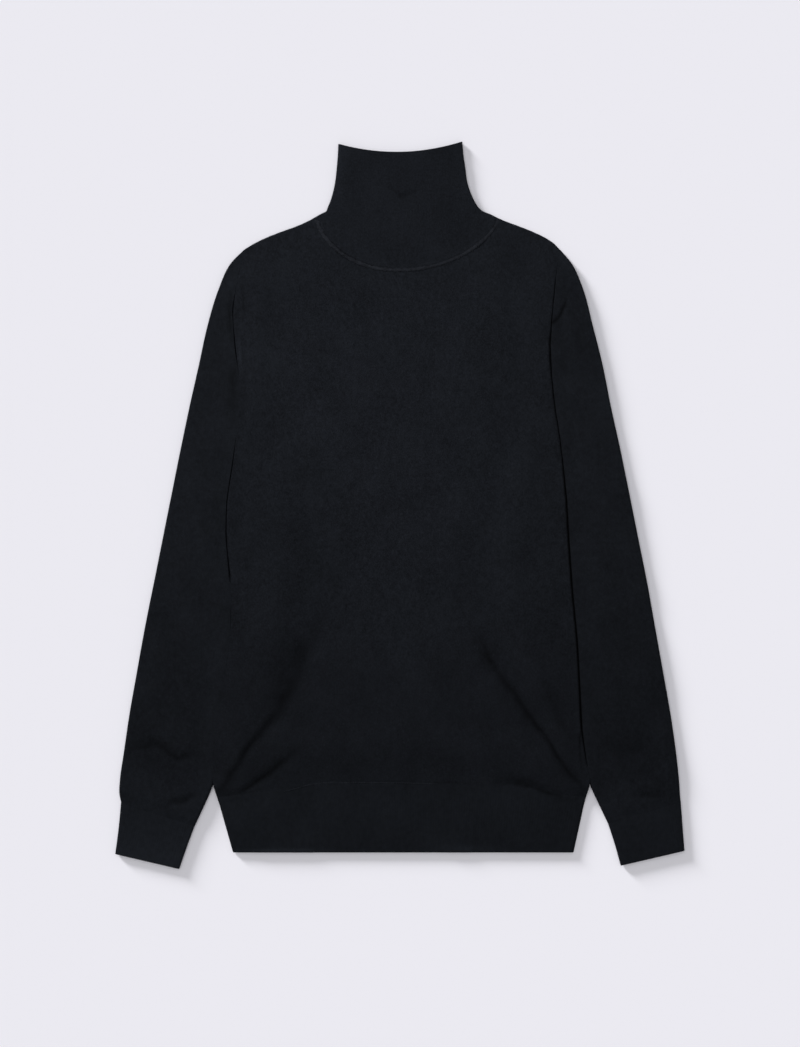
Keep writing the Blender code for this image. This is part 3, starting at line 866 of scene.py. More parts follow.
LEFT_SLEEVE_CREASES = (
    # Wavy fold across the sleeve above the cuff
    Crease.fold(
        (-285.0, -260.0, 0.3, 4.6),
        (-272.5, -256.8, 0.9, 5.0),
        (-262.0, -256.0, 1.2, 4.8),
        (-252.8, -258.6, 1.2, 4.6),
        (-244.5, -265.6, 1.1, 4.4),
        (-232.0, -270.6, 1.1, 4.2),
        (-224.0, -268.0, 0.9, 4.4),
        (-216.0, -265.0, 0.3, 5.0),
        shade=0.38,
    ),
    # Short fold at the cuff's inner corner
    Crease.fold(
        (-251.0, -321.5, 0.3, 3.6),
        (-242.0, -317.4, 0.9, 4.0),
        (-233.0, -315.6, 1.2, 4.2),
        (-223.5, -311.2, 0.9, 4.2),
        (-216.5, -307.4, 0.2, 4.2),
        shade=0.42,
    ),
    # Crease beside the armhole
    Crease.fold(
        (-180.0, 226.0, 0.3, 3.0),
        (-181.5, 210.0, 0.7, 3.2),
        (-180.5, 190.0, 0.8, 3.2),
        (-178.0, 168.0, 0.3, 3.2),
        shade=0.6,
    ),
    # Softer crease below it
    Crease.fold(
        (-177.0, 158.0, 0.3, 5.0),
        (-177.0, 142.0, 0.8, 6.0),
        (-178.0, 118.0, 0.6, 7.0),
        (-178.0, 90.0, 0.2, 7.0),
        shade=0.6,
    ),
    # Darker strip beside the body
    Crease.mark(
        (-182.0, 100.0, 0.2, 10.0),
        (-188.0, 44.0, 1.0, 12.0),
        (-190.0, -10.0, 1.0, 12.0),
        (-186.0, -70.0, 0.2, 12.0),
        shade=0.1,
    ),
    # Darker strip beside the armhole
    Crease.mark(
        (-187.0, 216.0, 0.1, 9.0),
        (-191.0, 190.0, 1.0, 11.0),
        (-191.0, 158.0, 0.6, 11.0),
        (-187.0, 128.0, 0.1, 10.0),
        shade=0.13,
    ),
)
RIGHT_SLEEVE_CREASES = (
    # Soft wave across the sleeve above the cuff
    Crease.fold(
        (210.0, -252.0, 0.2, 8.0),
        (220.0, -257.0, 0.5, 8.0),
        (238.0, -264.0, 0.5, 8.0),
        (256.0, -258.5, 0.9, 8.0),
        (267.0, -253.0, 0.2, 8.0),
        shade=0.25,
    ),
    # Softer wave below it
    Crease.fold(
        (225.0, -294.0, 0.4, 8.0),
        (246.0, -292.0, 0.3, 8.0),
        (268.0, -286.0, 0.4, 8.0),
        shade=0.25,
    ),
    # Small dent at the cuff's seam
    Crease.fold(
        (252.0, -309.4, 0.3, 3.5),
        (259.0, -309.4, 0.8, 3.5),
        (272.0, -310.0, 0.6, 3.5),
        (282.0, -311.0, 0.2, 3.5),
        shade=0.35,
    ),
    # Sharp crease out of the armhole
    Crease.fold(
        (162.3, 194.6, 0.7, 2.2),
        (168.7, 200.0, 1.0, 2.2),
        (175.1, 211.7, 0.9, 2.0),
        (178.2, 220.5, 0.2, 1.6),
        shade=0.75,
        full_depth=0.8,
    ),
    # Bulge above it
    Crease.fold(
        (166.0, 204.0, -0.3, 3.0),
        (169.0, 214.0, -0.6, 3.0),
        (171.0, 224.0, -0.2, 3.0),
    ),
    # Soft dip below it
    Crease.fold(
        (168.0, 200.0, 0.2, 7.0),
        (172.0, 180.0, 0.4, 9.0),
        (176.0, 150.0, 0.4, 11.0),
        (180.0, 118.0, 0.1, 11.0),
        shade=0.45,
    ),
    # Soft dip further out
    Crease.fold(
        (189.0, 200.0, 0.1, 6.0),
        (191.0, 187.0, 0.4, 7.0),
        (193.0, 150.0, 0.4, 7.0),
        (194.0, 112.0, 0.1, 6.0),
        shade=0.3,
    ),
    # Darker strip down the inner half
    Crease.mark(
        (200.0, -150.0, 0.1, 12.0),
        (206.0, -206.0, 1.0, 14.0),
        (224.0, -254.0, 0.3, 14.0),
        (242.0, -283.0, 1.0, 14.0),
        (247.0, -302.0, 0.1, 12.0),
        shade=0.1,
    ),
    # Paler strip down the outer half
    Crease.mark(
        (280.0, -218.0, 0.1, 10.0),
        (281.0, -248.0, 0.9, 12.0),
        (283.0, -278.0, 1.0, 12.0),
        (285.0, -302.0, 0.1, 10.0),
        shade=-0.11,
    ),
)
COLLAR_CREASES = (
    # Small dent in the middle
    Crease.fold(
        (-11.7, 339.7, 0.3, 2.6),
        (2.1, 330.1, 1.1, 3.2),
        (21.3, 336.5, 0.3, 2.6),
        shade=0.3,
    ),
    # Painted highlight along the left edge
    Crease.mark(
        (-71.0, 322.0, 0.1, 7.0),
        (-66.0, 342.0, 1.0, 8.0),
        (-64.0, 366.0, 1.0, 8.0),
        (-63.0, 388.0, 0.6, 8.0),
        shade=-0.32,
    ),
    # Painted highlight along the right edge
    Crease.mark(
        (72.0, 322.0, 0.1, 7.0),
        (67.0, 342.0, 1.0, 9.0),
        (64.0, 366.0, 1.0, 10.0),
        (63.0, 388.0, 0.8, 10.0),
        shade=-0.2,
    ),
)


@dataclass(frozen=True)
class Tuck:
    """How the body rises over the inner edges of the sleeves, which lie beneath it."""

    clearance: float = 0.7
    margin: float = 12.0
    fade: float = 34.0
    top_y: float = 270.0
    full_y: float = 226.0
    end_y: float = -299.0
    gone_y: float = -314.0

    def inner_edge(self, side: Side, y: np.ndarray) -> np.ndarray:
        """Return x of a sleeve's tucked inner edge at height y."""
        rows = LEFT_SLEEVE_ROWS if side is Side.LEFT else RIGHT_SLEEVE_ROWS
        ys = [row.inner_y for row in rows[::-1]]
        return np.interp(y, ys, [row.inner_x for row in rows[::-1]])

    def lift(self, x: np.ndarray, y: np.ndarray, stack: float) -> np.ndarray:
        """Find how high the back stands off the surface.

        Args:
            x: The points' x.
            y: The points' y.
            stack: Height of the sleeve that lies beneath.

        Returns:
            The height at each point.
        """
        along = ease((self.top_y - y) / (self.top_y - self.full_y))
        along *= ease((y - self.gone_y) / (self.end_y - self.gone_y))
        total = np.zeros_like(x)
        for side in Side:
            inward = side.value * (self.inner_edge(side, y) - x) - self.margin
            total += 1.0 - ease(inward / self.fade)
        return (stack + self.clearance) * along * np.minimum(total, 1.0)


WOOL = Wool()
NECK = Neck()
OUTLINE = Outline()
TUCK = Tuck()


class NodeSheet:
    """A node tree that is written one node at a time."""

    def __init__(self, tree: bpy.types.NodeTree) -> None:
        """Start on an existing tree."""
        self.tree = tree

    def add(self, kind: str, **settings: object) -> bpy.types.Node:
        """Add a node of this kind with these settings."""
        node = self.tree.nodes.new("ShaderNode" + kind)
        for name, value in settings.items():
            setattr(node, name, value)
        return node

    def feed(self, socket: bpy.types.NodeSocket, value: object) -> None:
        """Give an input a plain value, or link another node's output to it."""
        if isinstance(value, bpy.types.NodeSocket):
            self.tree.links.new(value, socket)
        else:
            socket.default_value = value

    def math(self, operation: str, *values: object) -> bpy.types.NodeSocket:
        """Return the result of a Math node on these values."""
        node = self.add("Math", operation=operation)
        for socket, value in zip(node.inputs, values):
            self.feed(socket, value)
        return node.outputs[0]

    def fade(self, value: object, low: float, high: float, start: float) -> bpy.types.NodeSocket:
        """Return this start below the low value, 1 above the high one and a blend between."""
        node = self.add("MapRange", interpolation_type="SMOOTHSTEP")
        for label, setting in (
            ("Value", value),
            ("From Min", low),
            ("From Max", high),
            ("To Min", start),
            ("To Max", 1.0),
        ):
            self.feed(node.inputs[label], setting)
        return node.outputs[0]

    def noise(self, vector: object, scale: float, detail: float) -> bpy.types.NodeSocket:
        """Return a noise pattern's value at these coordinates."""
        node = self.add("TexNoise")
        self.feed(node.inputs["Vector"], vector)
        node.inputs["Scale"].default_value = scale
        node.inputs["Detail"].default_value = detail
        return node.outputs["Fac"]

    def group(self, tree: bpy.types.NodeTree, **inputs: object) -> bpy.types.NodeOutputs:
        """Add a node group fed with these values, and return its outputs."""
        node = self.add("Group", node_tree=tree)
        for label, value in inputs.items():
            self.feed(node.inputs[label], value)
        return node.outputs

    def tint(self, color: Sequence[float], shade: object) -> bpy.types.NodeSocket:
        """Return this color, made darker or paler by the shade."""
        node = self.add("VectorMath", operation="SCALE")
        node.inputs[0].default_value = color
        self.feed(node.inputs["Scale"], shade)
        return node.outputs[0]


def new_material(name: str) -> tuple[bpy.types.Material, NodeSheet, bpy.types.NodeInputs]:
    """Start a material and return it with its sheet and its shader's inputs."""
    material = bpy.data.materials.new(name)
    material.use_nodes = True
    shader = material.node_tree.nodes["Principled BSDF"]
    return material, NodeSheet(material.node_tree), shader.inputs


def add_object(name: str, data: bpy.types.ID) -> bpy.types.Object:
    """Make an object of this data and put it into the scene."""
    thing = bpy.data.objects.new(name, data)
    bpy.context.scene.collection.objects.link(thing)
    return thing


def write_out(mesh: bmesh.types.BMesh, data: bpy.types.Mesh) -> bpy.types.Mesh:
    """Move the edited mesh into the mesh data, and return that."""
    mesh.to_mesh(data)
    mesh.free()
    return data


class KnitGroups:
    """The shader node groups that all the finishes share."""

    loop_power = 0.6
    brushing = (1.0, 0.76, 1.0)
    fuzz_noise = (650.0, 2.0)
    blotch_noise = (220.0, 3.0)
    patch_noise = (27.0, 3.0)
    fibre_noise = (450.0, 0.0)
    fibre_floor = 0.68

    def __init__(self) -> None:
        """Build each group once."""
        self.stitches = self._stitches()
        self.pile = self._pile()

    @staticmethod
    def _start(name: str, inputs: dict[str, str], outputs: dict[str, str]) -> bpy.types.NodeTree:
        """Make a group with these sockets."""
        tree = bpy.data.node_groups.new(name, "ShaderNodeTree")
        for label, kind in inputs.items():
            tree.interface.new_socket(label, in_out="INPUT", socket_type="NodeSocket" + kind)
        for label, kind in outputs.items():
            tree.interface.new_socket(label, in_out="OUTPUT", socket_type="NodeSocket" + kind)
        tree.nodes.new("NodeGroupInput")
        tree.nodes.new("NodeGroupOutput")
        return tree

    def _stitches(self) -> bpy.types.NodeTree:
        """Build columns of V-shaped stitches: each leg is one small slanted bump."""
        tree = self._start(
            "stockinette",
            {"Vector": "Vector", "Wale": "Float", "Course": "Float", "Slant": "Float"},
            {"Height": "Float"},
        )
        sheet = NodeSheet(tree)
        inputs = tree.nodes["Group Input"].outputs
        split = sheet.add("SeparateXYZ")
        sheet.feed(split.inputs[0], inputs["Vector"])
        across = sheet.math("DIVIDE", split.outputs["X"], inputs["Wale"])
        along = sheet.math("DIVIDE", split.outputs["Y"], inputs["Course"])
        centred = sheet.math("SUBTRACT", sheet.math("FRACT", across), 0.5)
        arm = sheet.math("ABSOLUTE", centred)
        slanted = sheet.math("SUBTRACT", along, sheet.math("MULTIPLY", arm, inputs["Slant"]))
        leg = sheet.math("SINE", sheet.math("MULTIPLY", arm, 2.0 * np.pi))
        loop = sheet.math("ABSOLUTE", sheet.math("SINE", sheet.math("MULTIPLY", slanted, np.pi)))
        height = sheet.math("MULTIPLY", leg, sheet.math("POWER", loop, self.loop_power))
        sheet.feed(tree.nodes["Group Output"].inputs["Height"], height)
        return tree

    def _pile(self) -> bpy.types.NodeTree:
        """Build the mottled shade of wool: fine fuzz, blotches and slow patches."""
        amounts = {label: "Float" for label in ("Fuzz", "Blotch", "Patch", "Fleck")}
        tree = self._start(
            "wool_pile", {"Vector": "Vector"} | amounts, {"Shade": "Float", "Height": "Float"}
        )
        sheet = NodeSheet(tree)
        inputs = tree.nodes["Group Input"].outputs
        brushed = sheet.add("VectorMath", operation="MULTIPLY")
        brushed.inputs[1].default_value = self.brushing
        sheet.feed(brushed.inputs[0], inputs["Vector"])
        place = brushed.outputs[0]
        total: object = 1.0
        fuzz = sheet.noise(place, *self.fuzz_noise)
        for label, value in (
            ("Fuzz", fuzz),
            ("Blotch", sheet.noise(place, *self.blotch_noise)),
            ("Patch", sheet.noise(place, *self.patch_noise)),
        ):
            swing = sheet.math("SUBTRACT", value, 0.5)
            total = sheet.math("ADD", total, sheet.math("MULTIPLY", swing, inputs[label]))
        fibre = sheet.noise(place, *self.fibre_noise)
        fibre = sheet.math("SUBTRACT", fibre, self.fibre_floor)
        fibre = sheet.math("MULTIPLY", sheet.math("MAXIMUM", fibre, 0.0), inputs["Fleck"])
        total = sheet.math("ADD", total, fibre)
        sheet.feed(tree.nodes["Group Output"].inputs["Shade"], total)
        sheet.feed(tree.nodes["Group Output"].inputs["Height"], fuzz)
        return tree


@dataclass(frozen=True)
class KnitFinish:
    """The finish of one kind of knit."""

    name: str
    slot: str
    color: tuple[float, float, float] = (0.0086, 0.01, 0.0132)
    roughness: float = 0.9
    specular: float = 0.05
    sheen: float = 0.012
    sheen_roughness: float = 0.5
    wale: float = 1.45
    course: float = 1.15
    slant: float = 1.6
    stitch_height: float = 0.18
    pile_height: float = 0.12
    fuzz: float = 1.25
    blotch: float = 0.75
    patch: float = 0.62
    fleck: float = 1.4
    calm_below: float = -200.0
    calm_above: float = -130.0
    calm: float = 0.66
    # Painted light: below pale_below the colour is pale times brighter, blending back by
    # pale_above
    pale_below: float = -315.0
    pale_above: float = -255.0
    pale: float = 1.0

    def material(self, groups: KnitGroups) -> bpy.types.Material:
        """Build the finish as a material.

        Args:
            groups: The node groups that the finishes share.

        Returns:
            The new material.
        """
        material, sheet, shader = new_material(self.name)
        place = sheet.add("TexCoord").outputs["Object"]
        stitches = sheet.group(
            groups.stitches,
            Vector=sheet.add("UVMap", uv_map=CLOTH_MAP).outputs[0],
            Wale=self.wale * MM,
            Course=self.course * MM,
            Slant=self.slant,
        )
        split = sheet.add("SeparateXYZ")
        sheet.feed(split.inputs[0], place)
        y = split.outputs["Y"]
        lively = sheet.fade(y, self.calm_below * MM, self.calm_above * MM, self.calm)
        # Painted light: the colour grows paler towards the lower end
        pale = sheet.fade(y, self.pale_below * MM, self.pale_above * MM, self.pale)
        pile = sheet.group(
            groups.pile,
            Vector=place,
            Fuzz=sheet.math("MULTIPLY", lively, self.fuzz),
            Blotch=sheet.math("MULTIPLY", lively, self.blotch),
            Patch=self.patch,
            Fleck=self.fleck,
        )
        # Painted shade in folds and grooves, painted highlights where below 0, and patches of tone
        crease = sheet.add("Attribute", attribute_name=PAINTED_LIGHT_AND_TONE).outputs["Fac"]
        kept = sheet.math("MULTIPLY", sheet.math("SUBTRACT", 1.0, crease), pale)
        shade = sheet.math("MULTIPLY", pile["Shade"], kept)
        sheet.feed(shader["Base Color"], sheet.tint(self.color, shade))
        relief = sheet.math(
            "ADD",
            sheet.math("MULTIPLY", stitches["Height"], self.stitch_height * MM),
            sheet.math("MULTIPLY", pile["Height"], self.pile_height * MM),
        )
        bump = sheet.add("Bump")
        bump.inputs["Distance"].default_value = 1.0
        sheet.feed(bump.inputs["Height"], relief)
        sheet.feed(shader["Normal"], bump.outputs[0])
        for label, value in (
            ("Roughness", self.roughness),
            ("Specular IOR Level", self.specular),
            ("Sheen Weight", self.sheen),
            ("Sheen Roughness", self.sheen_roughness),
        ):
            sheet.feed(shader[label], value)
        return material


@dataclass(frozen=True)
class YarnFinish:
    """The linking yarn's finish: paler than the cloth, a painted highlight on its raised loops."""

    name: str
    color: tuple[float, float, float] = (0.0125, 0.014, 0.0178)
    roughness: float = 0.85
    specular: float = 0.05
    mottle: float = 1.1
    patch: float = 1.6

    def material(self, groups: KnitGroups) -> bpy.types.Material:
        """Build the finish as a material.

        Args:
            groups: The node groups that the finishes share.

        Returns:
            The new material.
        """
        material, sheet, shader = new_material(self.name)
        pile = sheet.group(
            groups.pile,
            Vector=sheet.add("TexCoord").outputs["Object"],
            Fuzz=self.mottle,
            Blotch=self.mottle,
            Patch=self.patch,
        )
        sheet.feed(shader["Base Color"], sheet.tint(self.color, pile["Shade"]))
        sheet.feed(shader["Roughness"], self.roughness)
        sheet.feed(shader["Specular IOR Level"], self.specular)
        return material


def cloth_area(points: np.ndarray) -> float:
    """Return the area of a grid of points, in square metres."""
    first = points[1:, 1:] - points[:-1, :-1]
    second = points[1:, :-1] - points[:-1, 1:]
    return float(np.linalg.norm(np.cross(first, second), axis=-1).sum() / 2.0) * MM * MM


def cloth_size(points: np.ndarray) -> tuple[float, float]:
    """Return the longest row and the longest column of a grid of points, in metres."""
    rows = np.linalg.norm(np.diff(points, axis=1), axis=-1).sum(axis=1).max()
    columns = np.linalg.norm(np.diff(points, axis=0), axis=-1).sum(axis=0).max()
    return float(rows) * MM, float(columns) * MM


@dataclass
class Cloth:
    """A grid of cloth that becomes one piece of the sweater.

    The rows run upwards and the columns to the right where the cloth faces up. A grid
    whose ends meet is merged there, so that it closes. Only its cut edges are sharp.
    """

    name: str
    points: np.ndarray
    pattern: np.ndarray
    crease: np.ndarray
    wall: float = 0.0
    cut_angle: float = 1.0

    def build(self, material: bpy.types.Material) -> bpy.types.Object:
        """Make the cloth's mesh and dress it.

        Args:
            material: The finish of the whole piece.

        Returns:
            The new object.
        """
        rows, columns = self.points.shape[:2]
        mesh = bmesh.new()
        bmesh.ops.create_grid(mesh, x_segments=columns - 1, y_segments=rows - 1, size=1.0)
        data = write_out(mesh, bpy.data.meshes.new(self.name))
        data.vertices.foreach_set("co", (self.points * MM).astype(np.float32).ravel())
        corners = np.empty(len(data.loops), np.int32)
        data.loops.foreach_get("vertex_index", corners)
        places = (self.pattern.reshape(-1, 2) * MM)[corners].astype(np.float32)
        data.uv_layers.new(name=CLOTH_MAP).data.foreach_set("uv", places.ravel())
        # Painted shade, painted highlights and patches of tone, which the finish reads into its
        # colour
        depth = data.attributes.new(PAINTED_LIGHT_AND_TONE, "FLOAT", "POINT")
        depth.data.foreach_set("value", self.crease.astype(np.float32).ravel())
        mesh = bmesh.new()
        mesh.from_mesh(data)
        bmesh.ops.remove_doubles(mesh, verts=mesh.verts, dist=MERGE_DISTANCE)
        for face in mesh.faces:
            face.smooth = True
        for edge in mesh.edges:
            edge.smooth = edge.calc_face_angle(np.pi) < self.cut_angle
        write_out(mesh, data)
        data.materials.append(material)
        piece = add_object(self.name, data)
        if self.wall:
            solidify = piece.modifiers.new("wall", "SOLIDIFY")
            solidify.thickness = self.wall * MM
            solidify.offset = -1.0
            solidify.use_even_offset = False
        return piece


def finish_piece(
    piece: bpy.types.Object,
    node: str,
    points: np.ndarray,
) -> None:
    """Give a piece of cloth its place in the frame and state its cut.

    Args:
        piece: The piece of cloth.
        node: The solid that it replaces.
        points: The grid of its outer surface, all round.
    """
    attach(piece, BODY)
    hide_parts(node)
    size, area = cloth_size(points), cloth_area(points)
    area = min(area, size[0] * size[1])
    LOG.info("%s: %.0f x %.0f mm of cloth", piece.name, size[0] / MM, size[1] / MM)


@dataclass
class Front:
    """The front panel: it lies over the back and the sleeves, and its edges roll down."""

    shoulder_columns: int = 50
    neck_columns: int = 78
    lower_rows: int = 132
    upper_rows: int = 78
    lower_share: float = 0.31
    edge_steps: tuple[float, ...] = (0.0, 0.3, 0.7, 1.2, 1.8, 2.6, 3.8, 5.4)
    shoulder_share: float = 8.0 / 38.0
    loft: float = 2.4
    side_fade: float = 60.0
    blouse: float = 2.4
    blouse_above_seam: float = 34.0
    blouse_half_width: float = 26.0
    blouse_fade: float = 26.0
    neck_gap: float = 0.1
    side_gap: float = 0.75
    side_gap_width: float = 14.0
    groove_inset: float = 0.5
    roll_drop: float = 2.7
    roll_width: float = 2.1
    soft_roll: float = 0.02
    hidden_width: float = 2.0
    hidden_shade: float = 0.75
    seam_dip: float = 0.02
    seam_dip_width: float = 1.6
    ripples: tuple[Ripples, ...] = (
        Ripples(seed=3, height=0.34, shortest=46.0, longest=120.0),
        Ripples(seed=8, height=0.07, shortest=14.0, longest=34.0),
    )
    ripple_fade: float = 20.0
    fold_fade: float = 6.0

    def plan(self) -> np.ndarray:
        """Return the panel's grid in the plan."""
        width = OUTLINE.rows[0].right - OUTLINE.rows[0].left
        shoulder = width * self.shoulder_share
        edge = np.array(self.edge_steps)
        outer = np.concatenate(
            [edge, np.linspace(edge[-1], shoulder, self.shoulder_columns + 1)[1:]]
        )
        outer /= shoulder
        neck = moved_out(NECK.seam(self.neck_columns, NECK.front_depth), self.neck_gap)
        top = np.concatenate(
            [
                through(OUTLINE.left_shoulder, outer)[:-1],
                neck,
                through(OUTLINE.right_shoulder, 1.0 - outer[::-1])[1:],
            ]
        )
        inner = np.linspace(self.shoulder_share, 1.0 - self.shoulder_share, self.neck_columns + 1)
        across = np.concatenate(
            [
                outer[:-1] * self.shoulder_share,
                inner,
                1.0 - outer[-2::-1] * self.shoulder_share,
            ]
        )
        edge /= OUTLINE.rows[-1].y - OUTLINE.rows[0].y
        up = np.concatenate(
            [
                edge,
                np.linspace(edge[-1], self.lower_share, self.lower_rows + 1)[1:],
                np.linspace(self.lower_share, 1.0 - edge[-1], self.upper_rows + 1)[1:-1],
                1.0 - edge[::-1],
            ]
        )
        sides = [OUTLINE.side_line(side, up) for side in Side]
        for side, line in zip(Side, sides):
            line[:, 0] -= side.value * self.groove_inset * OUTLINE.grooved(side, line[:, 1])
        return patch(OUTLINE.hem_seam(across), top, sides[0], sides[1], across, up)

    def build(self, material: bpy.types.Material) -> tuple[bpy.types.Object, np.ndarray]:
        """Lay out the front.

        Args:
            material: The finish of the panel.

        Returns:
            The panel and the grid of its upper surface.
        """
        plan = self.plan()
        x, y = plan[..., 0], plan[..., 1]
        from_sides, from_shoulders = OUTLINE.from_edges(plan)
        grooved = np.where(
            x < 0.0, OUTLINE.grooved(Side.LEFT, y), OUTLINE.grooved(Side.RIGHT, y)
        )
        from_sides = np.maximum(from_sides - self.groove_inset * grooved, 0.0)
        from_edge = np.minimum(from_sides, from_shoulders)
        from_hem = y - plan[0, :, 1]
        from_top = nearest(plan, plan[-1])[0]
        from_side = -np.maximum(*(OUTLINE.outside(side, x, y) for side in Side))
        loft = self.loft * ease(from_side / self.side_fade)
        for distance in (from_hem, from_top):
            loft = loft * ease(distance / self.side_fade)
        swell = hump(from_hem - self.blouse_above_seam, self.blouse_half_width)
        blouse = self.blouse * ease(from_side / self.blouse_fade) * swell
        folds, dark = fold_cloth(FRONT_CREASES, x, y)
        folds = folds * ease(from_hem / self.fold_fade)
        free = ease(np.minimum(from_edge, from_hem) / self.ripple_fade)
        waves = sum(ripples.heights(x, y) for ripples in self.ripples) * free
        waves = waves * ease(from_top / self.ripple_fade)
        stand_off = np.maximum(loft + blouse + folds + waves, 0.0)
        gap = between(self.side_gap, WOOL.body_gap, ease(from_sides / self.side_gap_width))
        base = TUCK.lift(x, y, WOOL.sleeve_stack) + 2.0 * WOOL.knit + gap
        side_roll = rolled(from_sides, self.roll_width) * between(self.soft_roll, 1.0, grooved)
        # Painted shade: the colour darkens on the rolled edge where a groove runs beside it
        hidden = 1.0 - ease(from_sides / self.hidden_width)
        dark = 1.0 - (1.0 - dark) * (1.0 - self.hidden_shade * hidden * in_groove(grooved))
        roll = np.maximum(rolled(from_shoulders, self.roll_width), side_roll)
        dip = self.seam_dip * hump(from_hem, self.seam_dip_width)
        top = base + stand_off - self.roll_drop * roll - dip
        points = np.dstack([plan, top])
        cloth = Cloth("front_cloth", points, plan, dark, WOOL.knit - WOOL.slack)
        return cloth.build(material), points


@dataclass
class Back:
    """The back panel, of which only the rim shows beneath the front."""

    shoulder_columns: int = 14
    neck_columns: int = 36
    rows: int = 90
    inset: float = 1.8
    neck_gap: float = 0.9
    middle_x: float = 1.6
    top_y: float = 230.0
    top_fade: float = 40.0

    def build(self, material: bpy.types.Material) -> tuple[bpy.types.Object, np.ndarray]:
        """Lay out the back.

        Args:
            material: The finish of the panel.

        Returns:
            The panel and the grid of its upper surface.
        """
        steps = np.linspace(0.0, 1.0, self.shoulder_columns + 1)
        neck = moved_out(NECK.seam(self.neck_columns, NECK.back_depth), self.neck_gap)
        top = np.concatenate(
            [
                through(OUTLINE.left_shoulder, steps)[:-1],
                neck,
                through(OUTLINE.right_shoulder, steps)[1:],
            ]
        )
        across = np.linspace(0.0, 1.0, len(top))
        up = np.linspace(0.0, 1.0, self.rows + 1)
        sides = [OUTLINE.side_line(side, up) for side in Side]
        plan = patch(OUTLINE.hem_seam(across), top, sides[0], sides[1], across, up)
        kept = 1.0 - self.inset / OUTLINE.rows[-1].right
        plan[..., 0] = self.middle_x + (plan[..., 0] - self.middle_x) * kept
        shoulder = np.abs(plan[..., 0] - self.middle_x) > NECK.right.x
        plan[..., 1] -= self.inset * ease((plan[..., 1] - self.top_y) / self.top_fade) * shoulder
        x, y = plan[..., 0], plan[..., 1]
        points = np.dstack([plan, TUCK.lift(x, y, WOOL.sleeve_stack) + WOOL.knit])
        cloth = Cloth("back_cloth", points, plan, np.zeros_like(x), WOOL.knit)
        return cloth.build(material), points


@dataclass(frozen=True)
class FlatTube:
    """A tube of cloth that lies flat: an upper and a lower layer between two folded edges."""

    wall: float
    edge_round: float = 3.0
    edge_steps: tuple[float, ...] = (0.0, 0.25, 0.6, 1.1, 1.8, 3.0, 4.6)
    coarser: int = 4
    fine_samples: int = 600
    focus_gain: float = 3.2
    focus_width: float = 3.0

    def layer(
        self, line: np.ndarray, places: np.ndarray, inset: float, top: Heights, upper: bool
    ) -> np.ndarray:
        """Work out one layer of one section.

        Args:
            line: The layer's plan line, from the first folded edge to the second.
            places: Parts of its length.
            inset: 0 for the outer face of the cloth and its wall for the inner face.
            top: Height of the tube's upper surface at plan points.
            upper: Whether this is the upper layer.

        Returns:
            One point for each place.
        """
        length = line_length(line)
        share = inset / length
        points = along_line(line, share + places * (1.0 - 2.0 * share))
        inner = length - 2.0 * inset
        near = np.minimum(places, 1.0 - places) * inner
        rounding = self.edge_round - inset
        rise = np.sqrt(1.0 - (1.0 - np.clip(near / rounding, 0.0, 1.0)) ** 2)
        upper_z = top(points[:, 0], points[:, 1]) - inset
        middle = (upper_z + inset) / 2.0
        half = (upper_z - inset) / 2.0 * rise
        return np.column_stack([points, middle + half if upper else middle - half])

    def section(
        self,
        lines: tuple[np.ndarray, np.ndarray],
        places: tuple[np.ndarray, np.ndarray],
        inset: float,
        top: Heights,
    ) -> np.ndarray:
        """Work out one closed section.

        Args:
            lines: The plan lines of the upper and the lower layer.
            places: Parts of their lengths, for each of the two.
            inset: 0 for the outer face of the cloth and its wall for the inner face.
            top: Height of the tube's upper surface at plan points.

        Returns:
            The section's points, from the first edge over the top and back beneath.
        """
        upper = self.layer(lines[0], places[0], inset, top, True)
        lower = self.layer(lines[1], places[1], inset, top, False)
        return np.concatenate([upper, lower[-2::-1]])

    def spread(
        self, columns: int, length: float, focus: float | None = None
    ) -> tuple[np.ndarray, np.ndarray]:
        """Return places across the upper layer and, fewer of them, across the lower one.

        Args:
            columns: How many the upper layer has between its crowded edges.
            length: The section's length.
            focus: Where the upper layer's places lie closer together, if anywhere.

        Returns:
            The places of both layers.
        """
        upper = crowded(columns, self.edge_steps, length)
        lower = crowded(columns // self.coarser, self.edge_steps, length)
        if focus is not None:
            start, end = upper[len(self.edge_steps) - 1], upper[-len(self.edge_steps)]
            fine = np.linspace(start, end, self.fine_samples)
            density = 1.0 + self.focus_gain * hump((fine - focus) * length, self.focus_width)
            total = np.concatenate([[0.0], np.cumsum(density[1:] + density[:-1])])
            middle = slice(len(self.edge_steps) - 1, 1 - len(self.edge_steps))
            own = (upper[middle] - start) / (end - start) * total[-1]
            upper[middle] = np.interp(own, total, fine)
        return upper, lower

    def ring(
        self,
        lines: tuple[np.ndarray, np.ndarray],
        places: tuple[np.ndarray, np.ndarray],
        top: Heights,
    ) -> list[np.ndarray]:
        """Return a section's points on the outer and on the inner face of the cloth."""
        return [self.section(lines, places, inset, top) for inset in (0.0, self.wall)]

    @staticmethod
    def shell(rings: Sequence[list[np.ndarray]], downwards: bool) -> tuple[np.ndarray, np.ndarray]:
        """Join the rings into one grid, along the outer face and back along the inner one.

        Args:
            rings: The outer and the inner section of each ring.
            downwards: Whether the rings have to be taken from the last one to the first.

        Returns:
            The whole grid, and the outer face alone.
        """
        outer, inner = (np.array(face)[:: -1 if downwards else 1] for face in zip(*rings))
        return np.concatenate([outer, inner[::-1], outer[:1]]), outer


def turned(plan: np.ndarray, angle: float) -> np.ndarray:
    """Return plan points in axes turned by this angle, for wales that run along a piece."""
    cosine, sine = np.cos(angle), np.sin(angle)
    x, y = plan[..., 0], plan[..., 1]
    return np.stack([x * cosine + y * sine, y * cosine - x * sine], axis=-1)


